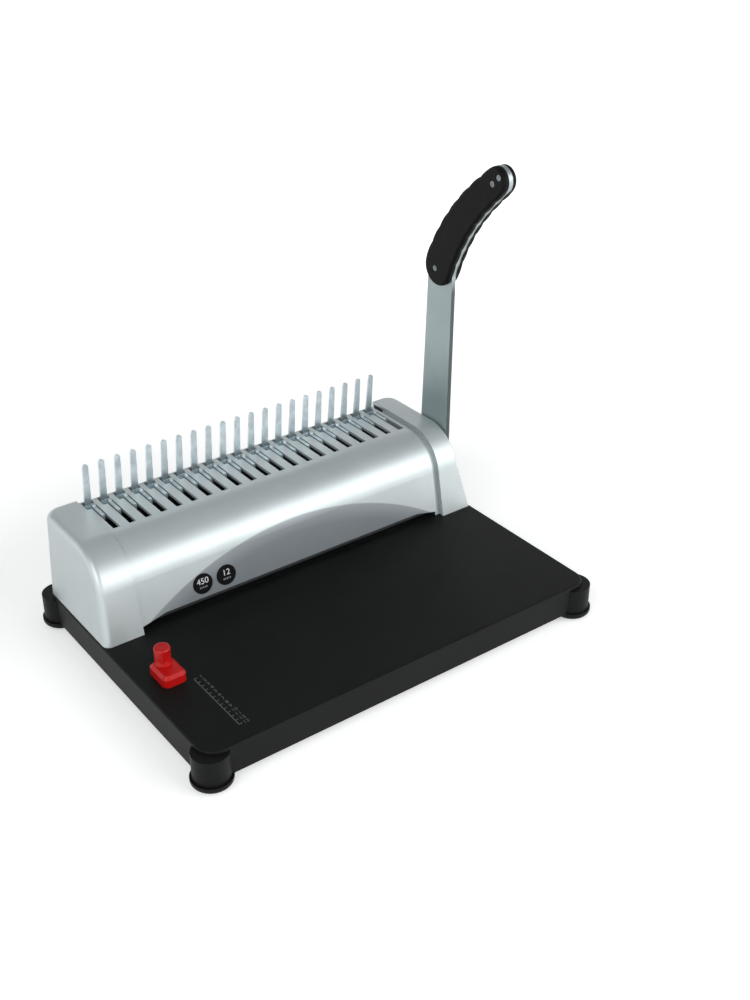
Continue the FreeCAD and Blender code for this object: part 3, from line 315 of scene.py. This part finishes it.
@dataclass(frozen=True)
class CrescentShadePaint(Finish):
    """Silver paint with a darker crescent of painted shade low on the front face."""

    shade: str = "#7C8286"
    shade_high: str = "#979DA1"
    shade_mm: float = 14.0
    middle_x_mm: float = 0.0
    apex_z_mm: float = 81.5
    half_chord_mm: float = 137.5
    foot_z_mm: float = 43.0
    front_y_mm: float = 40.0
    edge_mm: float = 0.6

    def tone(self, tree: Tree, place: Socket) -> Socket:
        """Silver all over, with painted shade inside the crescent's arc on the front, lighter at
        the arc and deeper below it.

        Args:
            tree: node tree of the material.
            place: Object coordinates.

        Returns:
            Colour socket.
        """
        rise = self.apex_z_mm - self.foot_z_mm
        radius = (self.half_chord_mm ** 2 + rise ** 2) / (2 * rise)
        centre = (self.middle_x_mm * MM, 0.0, (self.apex_z_mm - radius) * MM)
        # The reach from the arc's middle counts X and Z alone, so Y is taken out.
        flat = add_node(tree, "ShaderNodeVectorMath", {"operation": "MULTIPLY"},
                        {1: (1.0, 0.0, 1.0)}, {0: place})
        reach = add_node(tree, "ShaderNodeVectorMath", {"operation": "DISTANCE"}, {1: centre},
                         {0: flat.outputs["Vector"]}).outputs["Value"]
        inside = add_node(tree, "ShaderNodeMapRange", links={"Value": reach}, values={
            "From Min": (radius + self.edge_mm) * MM, "From Max": (radius - self.edge_mm) * MM})
        depth = add_node(tree, "ShaderNodeSeparateXYZ", links={"Vector": place}).outputs["Y"]
        front = add_node(tree, "ShaderNodeMath", {"operation": "LESS_THAN"},
                         {1: self.front_y_mm * MM}, {0: depth})
        both = add_node(tree, "ShaderNodeMath", {"operation": "MULTIPLY"}, links={
            0: inside.outputs["Result"], 1: front.outputs["Value"]})
        under = add_node(tree, "ShaderNodeMapRange", links={"Value": reach}, values={
            "From Min": radius * MM, "From Max": (radius - self.shade_mm) * MM})
        dark = add_node(tree, "ShaderNodeMix", {"data_type": "RGBA"}, {
            MIX_A: linear(self.shade_high), MIX_B: linear(self.shade)}, {
            "Factor": under.outputs["Result"]})
        return add_node(tree, "ShaderNodeMix", {"data_type": "RGBA"}, links={
            "Factor": both.outputs["Value"], MIX_A: self.wander(tree, place, self.colour),
            MIX_B: dark.outputs[MIX_OUT]}).outputs[MIX_OUT]


# A grain that is finer than half a millimetre in life is drawn coarser, so that it shows.

# ABS moulded against a spark-eroded tool and left black: dull, with a fine grain that greys
# the light.
BLACK_ABS = Finish("moulded_black_abs", "#111212", 0.5, specular=0.13, grain_mm=0.7,
                   grain_high_mm=0.04, mottle=0.15)
# ABS sprayed with aluminium-flake paint: pale grey, with a soft wide sheen.
SILVER_PAINT = Finish("sprayed_silver_paint", "#C3CBCC", 0.43, metallic=0.55, grain_mm=0.5,
                      grain_high_mm=0.006, mottle=0.03)
# The same paint with a darker crescent of painted shade on the front.
COVER_PAINT = CrescentShadePaint("sprayed_silver_crescent_shade", "#C3CBCC", 0.43, metallic=0.55,
                            grain_mm=0.5, grain_high_mm=0.006, mottle=0.03)
# Red ABS from a polished tool: a clean colour, with soft highlights along the edges.
RED_ABS = Finish("moulded_red_abs", "#BE0F0F", 0.36, specular=0.35, grain_mm=1.2,
                 grain_high_mm=0.01, mottle=0.08)
# Zinc-plated plate and wire: bright, a little blue, with soft cloudy patches.
ZINC_STEEL = Finish("zinc_plated_steel", "#E0E9ED", 0.3, metallic=0.6, grain_mm=2.5,
                    grain_high_mm=0.01, mottle=0.16, mottle_mm=9.0)
# The same coat on upright strip, rolled along its length: pale above, with painted shade darkening
# the foot down in the deck's slots.
ZINC_STRIP = RisingSteel("zinc_plated_strip", "#DAE4E9", 0.32, metallic=0.6, grain_mm=1.6,
                         grain_high_mm=0.01, mottle=0.16, mottle_mm=9.0)
# The same zinc on the sliding blades, darker and blue-grey as painted shade down in the slots, and
# duller.
ZINC_BLADE = Finish("shaded_zinc_blade", "#BBCAD0", 0.4, metallic=0.6, grain_mm=1.2,
                    grain_high_mm=0.01, mottle=0.2, mottle_mm=6.0)
# Flat bar with a satin nickel coat: grey and polished along its length, with raw sheared edges,
# painted light towards its foot and a painted highlight on its edges near the top.
LEVER_STEEL = ShearedBar("satin_nickel_bar", "#9AA6A8", 0.4, metallic=0.7, grain_mm=0.9,
                         grain_high_mm=0.01, mottle=0.06, foot="#ACBABB", foot_z_mm=90.0,
                         head_z_mm=240.0)
# Ground and oiled tool steel: darker, with fine grinding lines.
TOOL_STEEL = BrushedSteel("ground_tool_steel", "#85898C", 0.32, metallic=1.0, grain_mm=0.8,
                          grain_high_mm=0.008, lines=Axis.X)
# Bright nickel screw heads: small hard highlights.
BRIGHT_STEEL = Finish("bright_screw_steel", "#C9CCCE", 0.2, metallic=1.0, grain_mm=1.0,
                      grain_high_mm=0.004)
# Rolled rivet heads sunk in the grip: grey, with a small glint.
RIVET_STEEL = Finish("rolled_rivet_steel", "#6C7173", 0.24, metallic=0.9, grain_mm=0.8,
                     grain_high_mm=0.01, mottle=0.2, mottle_mm=3.0)
# Rails under the deck painted near black as painted shade, so that the slots above them read as
# open.
SHADE_DARK_STEEL = Finish("painted_shade_rail_steel", "#2C2E2F", 0.26, metallic=0.8, grain_mm=0.8,
                         grain_high_mm=0.01, mottle=0.2, mottle_mm=4.0)
# Black polypropylene grip moulded with a leather-like texture: dull, with a grain just seen.
GRIP_BLACK = Finish("textured_black_polypropylene", "#0D0D0D", 0.55, specular=0.1, grain_mm=1.3,
                    grain_high_mm=0.25, mottle=0.2, mottle_mm=12.0)
# Soft moulded rubber pads: the dullest black on the machine.
PAD_RUBBER = Finish("foot_rubber", "#0E0E0E", 0.82, specular=0.15, grain_mm=1.0,
                    grain_high_mm=0.06, mottle=0.2)
# Sintered bronze: warm, dull and full of pores.
BRONZE = Finish("sintered_bronze", "#A9824A", 0.42, metallic=1.0, grain_mm=0.5,
                grain_high_mm=0.03, mottle=0.15)
# Natural moulded acetal: off-white, waxy.
ACETAL = Finish("natural_acetal", "#D9D7CE", 0.4, grain_mm=1.0, grain_high_mm=0.01)
# Black plate under a satin lacquer: nearly no light of its own, and a faint sheen.
BADGE_BLACK = Finish("lacquered_black_plate", "#08090B", 0.34, specular=0.12, grain_mm=1.0,
                     grain_high_mm=0.004)
# Pad-printed pale ink: flat and thin.
PALE_INK = Finish("pale_printed_ink", "#D3D7D8", 0.6, grain_mm=0.6, grain_high_mm=0.01)
# The same ink, thinned, for the lower line of the plates.
DIM_INK = Finish("thin_printed_ink", "#83888A", 0.6, grain_mm=0.6, grain_high_mm=0.01)
# Marks moulded proud of black plastic and rubbed grey by use.
GREY_MARK = Finish("rubbed_grey_marks", "#585C5D", 0.55, specular=0.3, grain_mm=0.6,
                   grain_high_mm=0.02, mottle=0.25, mottle_mm=6.0)
# Painted shade for the bottom of a pressed driver recess: near black.
RECESS_SHADE = Finish("painted_recess_shade", "#17181A", 0.5, metallic=0.6, grain_mm=0.5,
                grain_high_mm=0.01, mottle=0.2)


def dress(finish: Finish, *names: str) -> None:
    """Give CAD nodes a finish.

    Args:
        finish: surface to use.
        names: CAD nodes.
    """
    for name in names:
        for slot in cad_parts[name].material_slots:
            slot.material = finish.material()
        log.info("%s dressed in %s", name, finish.name)


def adopt(piece: Thing, body: str) -> Thing:
    """Put a finished piece on a body.

    Args:
        piece: object with its place in its mesh.
        body: CAD body that carries it.

    Returns:
        The same piece.
    """
    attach(piece, body)
    log.info("%s rides on %s with %d faces", piece.name, body, len(piece.data.polygons))
    return piece


def plain_object(name: str, data: bpy.types.ID) -> Thing:
    """Link a mesh, curve, light or camera to the scene as an object at the origin.

    Args:
        name: name of the object.
        data: what the object shows.

    Returns:
        The object.
    """
    thing = bpy.data.objects.new(name, data)
    bpy.context.scene.collection.objects.link(thing)
    return thing


def solid_object(name: str, shape: bmesh.types.BMesh, *skins: Material) -> Thing:
    """Close a shape that was built face by face and link it to the scene.

    Args:
        name: name of the object and its mesh.
        shape: the shape, which is freed.
        skins: materials in the order of the faces' numbers.

    Returns:
        Object at the origin.
    """
    mesh = bpy.data.meshes.new(name)
    shape.to_mesh(mesh)
    shape.free()
    for skin in skins:
        mesh.materials.append(skin)
    return plain_object(name, mesh)


def plain_mesh(source: Thing) -> Mesh:
    """Keep what an object evaluates to as a plain mesh, and remove the object.

    Args:
        source: object with a modifier or a text curve.

    Returns:
        The mesh.
    """
    view = bpy.context.evaluated_depsgraph_get()
    mesh = bpy.data.meshes.new_from_object(source.evaluated_get(view))
    bpy.data.objects.remove(source)
    return mesh


@dataclass
class RepeatTree:
    """Geometry Nodes tree that repeats a small block or peg in a row or on a ring."""

    name: str
    finish: Finish
    shape: Outline
    ring: bool = False
    peg_sides: int = 16

    def tree(self) -> Tree:
        """Build the tree with named inputs for its sizes.

        Returns:
            Node group of the row or ring.
        """
        group = bpy.data.node_groups.new(self.name, "GeometryNodeTree")
        group.interface.new_socket("Geometry", in_out="OUTPUT", socket_type="NodeSocketGeometry")
        for label, kind in (("Count", "Int"), ("Start", "Vector"), ("Step", "Vector"),
                            ("Radius", "Float"), ("Size", "Vector")):
            group.interface.new_socket(label, in_out="INPUT", socket_type="NodeSocket" + kind)
        given = add_node(group, "NodeGroupInput").outputs
        if self.shape is Outline.BLOCK:
            solid = add_node(group, "GeometryNodeMeshCube", links={"Size": given["Size"]})
        else:
            sizes = add_node(group, "ShaderNodeSeparateXYZ",
                             links={"Vector": given["Size"]}).outputs
            solid = add_node(group, "GeometryNodeMeshCylinder", values={"Vertices": self.peg_sides},
                             links={"Radius": sizes["X"], "Depth": sizes["Z"]})
        if self.ring:
            points = add_node(group, "GeometryNodeMeshCircle", links={
                "Vertices": given["Count"], "Radius": given["Radius"]})
            spot = add_node(group, "GeometryNodeInputPosition").outputs["Position"]
            turn = add_node(group, "FunctionNodeAlignRotationToVector", {"axis": "X"},
                            links={"Vector": spot})
            extra = {"Rotation": turn.outputs["Rotation"]}
        else:
            points = add_node(group, "GeometryNodeMeshLine", links={
                "Count": given["Count"], "Offset": given["Step"]})
            extra = {}
        copies = add_node(group, "GeometryNodeInstanceOnPoints", links={
            "Points": points.outputs["Mesh"], "Instance": solid.outputs["Mesh"], **extra})
        placed = add_node(group, "GeometryNodeTransform", links={
            "Geometry": copies.outputs["Instances"], "Translation": given["Start"]})
        real = add_node(group, "GeometryNodeRealizeInstances",
                        links={"Geometry": placed.outputs["Geometry"]})
        coloured = add_node(group, "GeometryNodeSetMaterial",
                            values={"Material": self.finish.material()},
                            links={"Geometry": real.outputs["Geometry"]})
        add_node(group, "NodeGroupOutput", links={"Geometry": coloured.outputs["Geometry"]})
        return group

    def build(self, count: int, start: Vector, size: Point, step: Point = (0.0, 0.0, 0.0),
              radius: float = 0.0) -> Thing:
        """Run the tree and keep its result as a plain mesh.

        Args:
            count: number of copies.
            start: first copy of a row, or the middle of a ring.
            size: size of one copy; a peg takes its radius from X and its height from Z.
            step: way from one copy to the next in a row.
            radius: radius of a ring.

        Returns:
            Object at the origin with a plain mesh.
        """
        group = self.tree()
        holder = plain_object(self.name + "_rule", bpy.data.meshes.new(self.name + "_rule"))
        modifier = holder.modifiers.new("Repeat", "NODES")
        modifier.node_group = group
        wanted = {"Count": count, "Start": start, "Step": step, "Radius": radius, "Size": size}
        for item in group.interface.items_tree:
            if item.in_out == "INPUT":
                modifier[item.identifier] = wanted[item.name]
        mesh = plain_mesh(holder)
        mesh.name = self.name
        return plain_object(self.name, mesh)


def join(name: str, pieces: list[Thing]) -> Thing:
    """Put several small meshes of one body into one piece.

    Args:
        name: name of the piece.
        pieces: objects at the origin.

    Returns:
        One object with all their faces and materials.
    """
    shape = bmesh.new()
    skins: list[Material] = []
    for piece in pieces:
        first = len(shape.faces)
        shape.from_mesh(piece.data)
        shape.faces.ensure_lookup_table()
        for face in shape.faces[first:]:
            skin = piece.data.materials[face.material_index]
            if skin not in skins:
                skins.append(skin)
            face.material_index = skins.index(skin)
        bpy.data.objects.remove(piece)
    return solid_object(name, shape, *skins)


@dataclass(frozen=True)
class Lettering:
    """Plain printed or moulded numbers of one size."""

    finish: Finish
    size: float
    raised: float = 0.12 * MM

    def piece(self, text: str, place: Matrix) -> Thing:
        """Print one number.

        Args:
            text: digits to print.
            place: turn and middle of the number.

        Returns:
            Object at the origin with a plain mesh.
        """
        curve = bpy.data.curves.new("number", "FONT")
        curve.body = text
        curve.size = self.size
        curve.align_x = "CENTER"
        curve.align_y = "CENTER"
        curve.extrude = self.raised
        mesh = plain_mesh(plain_object("number", curve))
        mesh.transform(place)
        mesh.materials.clear()
        mesh.materials.append(self.finish.material())
        return plain_object("number_" + text, mesh)


@dataclass
class Base:
    """Black base with its pads, the gauge moulded in the bed and the drawer's finger ribs."""

    bed_z: float = 33 * MM
    gauge_x: float = -147.3 * MM
    gauge_y: float = -114.7 * MM
    line_long: float = 64.7 * MM
    line_wide: float = 0.7 * MM
    raised: float = 0.3 * MM
    tick_count: int = 13
    tick_long: float = 2.6 * MM
    number_x: float = -141.2 * MM
    number_size: float = 5.0 * MM
    rib_count: int = 13
    rib_step: float = 5 * MM
    rib_size: Point = (1.8 * MM, 1.2 * MM, 8 * MM)

    def build(self) -> None:
        """Dress the base and add the gauge and the ribs."""
        dress(BLACK_ABS, "base_tray", "chip_drawer", "drawer_rails")
        dress(PAD_RUBBER, "rubber_feet")
        adopt(self.gauge(), "frame_body")
        adopt(self.finger_ribs(), "drawer_body")

    def gauge(self) -> Thing:
        """Line along the bed with ticks on it and a number beside each tick.

        Returns:
            The gauge as one piece.
        """
        step = self.line_long / (self.tick_count - 1)
        far = self.gauge_y + self.line_long
        middle = Vector((self.gauge_x, self.gauge_y + self.line_long / 2, self.bed_z))
        line = RepeatTree("gauge_line", GREY_MARK, Outline.BLOCK).build(
            1, middle, (self.line_wide, self.line_long, self.raised))
        first = Vector((self.gauge_x + self.tick_long / 2, self.gauge_y, self.bed_z))
        ticks = RepeatTree("gauge_ticks", GREY_MARK, Outline.BLOCK).build(
            self.tick_count, first, (self.tick_long, self.line_wide, self.raised), (0, step, 0))
        print_on = Lettering(GREY_MARK, self.number_size)
        numbers = [print_on.piece(str(i + 1), Matrix.Translation(
            (self.number_x, far - step * i, self.bed_z))) for i in range(self.tick_count)]
        return join("bed_gauge", [line, ticks, *numbers])

    def finger_ribs(self) -> Thing:
        """Upright ribs for the fingers on the drawer's rear face.

        Returns:
            The ribs as one piece.
        """
        low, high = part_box("chip_drawer")
        left = -self.rib_step * (self.rib_count - 1) / 2
        return RepeatTree("drawer_ribs", BLACK_ABS, Outline.BLOCK).build(
            self.rib_count, Vector((left, high.y, (low.z + high.z) / 2)), self.rib_size,
            (self.rib_step, 0, 0))


@dataclass
class Housing:
    """Silver cover and caps, with round plates on the front and screws at the rear."""

    digits: tuple[str, str] = ("450", "12")
    digit_size: float = 7.4 * MM
    digit_up: float = 2.0 * MM
    bar_down: float = 3.3 * MM
    bar_step: float = 1.5 * MM
    bar_count: int = 5
    bar_size: Point = (0.9 * MM, 0.2 * MM, 1.8 * MM)
    lean: float = math.radians(10.8)
    screw_step: float = 85.725 * MM
    screw_count: int = 4
    recess_long: float = 4.2 * MM
    recess_wide: float = 0.9 * MM
    recess_deep: float = 0.1 * MM
    foot_x: tuple[float, float] = (150.15 * MM, 155.15 * MM)
    foot_z: tuple[float, float] = (33.3 * MM, 43.2 * MM)
    foot_y: float = 28.0 * MM
    foot_thick: float = 0.45 * MM
    cheek_y: float = 23.5 * MM
    foot_rows: int = 6

    def build(self) -> None:
        """Dress the shells, screws and plates, and add the print, the crosses and the lip."""
        dress(COVER_PAINT, "centre_cover")
        dress(SILVER_PAINT, "left_end_cap", "right_end_cap")
        dress(BRIGHT_STEEL, "cover_screws")
        dress(BADGE_BLACK, "size_badges")
        adopt(self.numbers(), "frame_body")
        adopt(self.crosses(), "frame_body")
        adopt(self.groove_foot(), "frame_body")

    def groove_foot(self) -> Thing:
        """Thin lip that carries the groove's floor and its outer cheek down to the bed.

        Returns:
            The lip as one piece.
        """
        shape = bmesh.new()
        left, right = self.foot_x
        low, high = self.foot_z
        inner = right - self.foot_thick
        rings = []
        for row in range(self.foot_rows + 1):
            z = low + (high - low) * row / self.foot_rows
            back = (z - low) * math.tan(self.lean)
            y, front = self.foot_y + back, self.cheek_y + back
            rear = y + self.foot_thick
            outline = ((left, y), (inner, y), (inner, front), (right, front), (right, rear),
                       (left, rear))
            rings.append([shape.verts.new((x, depth, z)) for x, depth in outline])
        for under, over in zip(rings, rings[1:]):
            for i, vertex in enumerate(under):
                j = (i + 1) % len(under)
                shape.faces.new((vertex, under[j], over[j], over[i]))
        shape.faces.new(rings[0][::-1])
        shape.faces.new(rings[-1])
        bmesh.ops.recalc_face_normals(shape, faces=shape.faces[:])
        return solid_object("groove_foot", shape, SILVER_PAINT.material())

    def numbers(self) -> Thing:
        """Plain number over a row of short bars on each of the two round plates.

        Returns:
            The print of both plates as one piece.
        """
        low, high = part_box("size_badges")
        radius = (high.z - low.z) / 2
        up = Vector((0, math.sin(self.lean), math.cos(self.lean)))
        turn = Matrix.Rotation(math.pi / 2 - self.lean, 4, "X")
        level = Vector((0, low.y + radius * up.y, high.z - radius * up.z))
        half_row = Vector((self.bar_step * (self.bar_count - 1) / 2, 0, 0))
        print_on = Lettering(PALE_INK, self.digit_size)
        pieces = []
        for text, x in zip(self.digits, (low.x + radius, high.x - radius)):
            middle = level + Vector((x, 0, 0))
            place = Matrix.Translation(middle + up * self.digit_up) @ turn
            pieces.append(print_on.piece(text, place))
            pieces.append(RepeatTree("plate_bars_" + text, DIM_INK, Outline.BLOCK).build(
                self.bar_count, middle - up * self.bar_down - half_row, self.bar_size,
                (self.bar_step, 0, 0)))
        return join("badge_print", pieces)

    def crosses(self) -> Thing:
        """Driver crosses of the screws at the rear, as thin bars of painted shade.

        Returns:
            The crosses as one piece.
        """
        low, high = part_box("cover_screws")
        left = -self.screw_step * (self.screw_count - 1) / 2
        first = Vector((left, high.y, (low.z + high.z) / 2))
        sizes = ((self.recess_long, self.recess_wide), (self.recess_wide, self.recess_long))
        bars = [RepeatTree("cross_bars_%d" % i, RECESS_SHADE, Outline.BLOCK).build(
            self.screw_count, first, (wide, self.recess_deep, tall), (self.screw_step, 0, 0))
            for i, (wide, tall) in enumerate(sizes)]
        return join("screw_crosses", bars)


@dataclass
class CombOpener:
    """Comb posts and the opener in front of them, under the deck's slots."""

    def build(self) -> None:
        """Dress the posts, hooks, rails and racks."""
        dress(ZINC_STRIP, "comb_posts")
        dress(ZINC_BLADE, "opening_hooks")
        dress(SHADE_DARK_STEEL, "post_rail", "hook_rail")
        dress(TOOL_STEEL, "left_hook_rack", "right_hook_rack")
        dress(ACETAL, "hook_guides")


@dataclass
class PunchWorks:
    """Punch carriage, dies, shaft and gears inside the housing."""

    stroke: float = 11.5 * MM
    weld: float = 0.001 * MM

    def build(self) -> None:
        """Dress the hidden works and put a welded copy of the springs in place of the solid ones.
        """
        dress(TOOL_STEEL, "lower_die", "pin_guide", "back_stop", "guide_posts", "punch_pins",
              "main_shaft", "shaft_clip", "left_punch_pinion", "right_punch_pinion",
              "left_hook_pinion", "right_hook_pinion", "left_punch_rack", "right_punch_rack")
        dress(ZINC_STEEL, "left_side_plate", "right_side_plate", "punch_beam", "pin_keeper",
              "guide_nut", "return_springs")
        dress(BRONZE, "left_bush", "right_bush")
        dress(BRIGHT_STEEL, "keeper_screws")
        coils = adopt(self.coils(), "frame_body")
        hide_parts("return_springs")
        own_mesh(coils)

    def coils(self) -> Thing:
        """Springs with the solid springs' shape, their loose points welded together.

        Returns:
            The springs as one piece.
        """
        shape = bmesh.new()
        shape.from_mesh(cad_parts["return_springs"].data)
        bmesh.ops.remove_doubles(shape, verts=shape.verts[:], dist=self.weld)
        return solid_object("return_coils", shape, ZINC_STEEL.material())


@dataclass
class Lever:
    """Steel lever with its grip scales, rivets and screw."""

    def build(self) -> None:
        """Dress the lever and grip."""
        dress(LEVER_STEEL, "lever_arm")
        dress(GRIP_BLACK, "grip_inner", "grip_outer")
        dress(RIVET_STEEL, "grip_rivets")
        dress(BRIGHT_STEEL, "lever_screw")


@dataclass
class EdgeStop:
    """Red side stop with its clamp knob."""

    rib_count: int = 6
    rib_ring: float = 5.9 * MM
    rib_radius: float = 1.0 * MM
    rib_low: float = 45.2 * MM
    rib_high: float = 53.2 * MM

    def build(self) -> None:
        """Dress the stop and its knob and set the ribs round the knob's waist."""
        dress(RED_ABS, "edge_guide", "guide_knob")
        adopt(self.ribs(), "knob_body")

    def ribs(self) -> Thing:
        """Round ribs for the fingers on the knob's waist.

        Returns:
            The ribs as one piece.
        """
        low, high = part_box("guide_knob")
        level = (self.rib_low + self.rib_high) / 2
        middle = Vector(((low.x + high.x) / 2, (low.y + high.y) / 2, level))
        size = (self.rib_radius, self.rib_radius, self.rib_high - self.rib_low)
        return RepeatTree("knob_ribs", RED_ABS, Outline.PEG, ring=True).build(
            self.rib_count, middle, size, radius=self.rib_ring)


@dataclass(frozen=True)
class Softbox:
    """Soft rectangular lamp."""

    name: str
    place: Point
    size: tuple[float, float]
    power: float

    def hang(self, aim: Point) -> None:
        """Hang the lamp in the scene.

        Args:
            aim: point that it faces.
        """
        light = bpy.data.lights.new(self.name, "AREA")
        light.shape = "RECTANGLE"
        light.size, light.size_y = self.size
        light.energy = self.power
        lamp = plain_object(self.name, light)
        lamp.location = self.place
        way = Vector(aim) - Vector(self.place)
        lamp.rotation_euler = way.to_track_quat("-Z", "Y").to_euler()


@dataclass
class Studio:
    """Floor, soft lights and the camera, with lengths in metres."""

    eye: Point = (-0.5043, -0.7578, 0.6474)
    azimuth: float = math.radians(-36.69)
    elevation: float = math.radians(30.36)
    focal_px: float = 1303.07
    sensor_mm: float = 36.0
    lamps: tuple[Softbox, ...] = (
        Softbox("softbox_right", (1.0, -1.65, 0.95), (2.2, 1.3), 27.0),
        Softbox("key_left", (-1.6, -0.9, 1.2), (1.4, 1.4), 17.0))
    aim: Point = (0.0, 0.0, 0.1)
    sky: float = 0.36
    sky_colour: str = "#F2F4F5"
    wall_radius: float = 6.0
    wall_high: float = 3.0
    wall_sides: int = 96
    floor_colour: str = "#F4F5F5"
    glow_colour: str = "#FFFFFF"
    glow_from: float = 0.3
    glow_to: float = 0.95
    glow_least: float = 0.44
    glow_most: float = 1.0

    def build(self) -> None:
        """Set the whole stage."""
        self.floor()
        self.sky_light()
        for lamp in self.lamps:
            lamp.hang(self.aim)
        self.camera()
        bpy.context.scene.view_settings.view_transform = "Standard"

    def floor(self) -> None:
        """Pale floor in a round wall, white away from the object and still taking its shadow."""
        shape = bmesh.new()
        disc = bmesh.ops.create_circle(shape, cap_ends=True, segments=self.wall_sides,
                                       radius=self.wall_radius)
        rim = [edge for edge in shape.edges
               if all(vertex in disc["verts"] for vertex in edge.verts)]
        raised = bmesh.ops.extrude_edge_only(shape, edges=rim)["geom"]
        bmesh.ops.translate(shape, vec=(0, 0, self.wall_high), verts=[
            part for part in raised if isinstance(part, bmesh.types.BMVert)])
        solid_object("floor", shape, self.floor_paint())

    def floor_paint(self) -> Material:
        """Matt paint that the camera and reflections see as white, growing with the distance.

        Returns:
            Material of the floor and its wall.
        """
        skin = bpy.data.materials.new("pale_floor")
        tree = empty_tree(skin)
        path = add_node(tree, "ShaderNodeLightPath").outputs
        mirror = add_node(tree, "ShaderNodeMath", {"operation": "MAXIMUM"}, links={
            0: path["Is Glossy Ray"], 1: path["Is Transmission Ray"]})
        look = add_node(tree, "ShaderNodeMath", {"operation": "MAXIMUM"}, links={
            0: path["Is Camera Ray"], 1: mirror.outputs["Value"]})
        place = add_node(tree, "ShaderNodeTexCoord").outputs["Object"]
        away = add_node(tree, "ShaderNodeVectorMath", {"operation": "LENGTH"}, links={0: place})
        grow = add_node(tree, "ShaderNodeMapRange", links={"Value": away.outputs["Value"]}, values={
            "From Min": self.glow_from, "From Max": self.glow_to,
            "To Min": self.glow_least, "To Max": self.glow_most})
        glow = add_node(tree, "ShaderNodeMath", {"operation": "MULTIPLY"}, links={
            0: look.outputs["Value"], 1: grow.outputs["Result"]})
        matt = add_node(tree, "ShaderNodeBsdfDiffuse", values={"Color": linear(self.floor_colour)})
        white = add_node(tree, "ShaderNodeEmission", values={"Color": linear(self.glow_colour)},
                         links={"Strength": glow.outputs["Value"]})
        both = add_node(tree, "ShaderNodeAddShader", links={
            0: matt.outputs["BSDF"], 1: white.outputs["Emission"]})
        add_node(tree, "ShaderNodeOutputMaterial", links={"Surface": both.outputs["Shader"]})
        return skin

    def sky_light(self) -> None:
        """Even grey light from above."""
        world = bpy.data.worlds.new("studio")
        bpy.context.scene.world = world
        tree = empty_tree(world)
        soft = add_node(tree, "ShaderNodeBackground", values={
            "Color": linear(self.sky_colour), "Strength": self.sky})
        add_node(tree, "ShaderNodeOutputWorld", links={"Surface": soft.outputs["Background"]})

    def camera(self) -> None:
        """Camera at the photograph's viewpoint."""
        data = bpy.data.cameras.new("camera")
        data.sensor_fit = "VERTICAL"
        data.sensor_height = self.sensor_mm
        data.lens = self.focal_px * self.sensor_mm / IMAGE_HIGH
        eye = plain_object("camera", data)
        eye.location = self.eye
        eye.rotation_euler = (math.pi / 2 - self.elevation, 0.0, self.azimuth)
        bpy.context.scene.camera = eye


def main() -> None:
    """Build the sub-assemblies in order."""
    for part in (Base(), Housing(), CombOpener(), PunchWorks(), Lever(), EdgeStop(), Studio()):
        log.info("building %s", type(part).__name__)
        part.build()


if __name__ == "__main__":
    main()
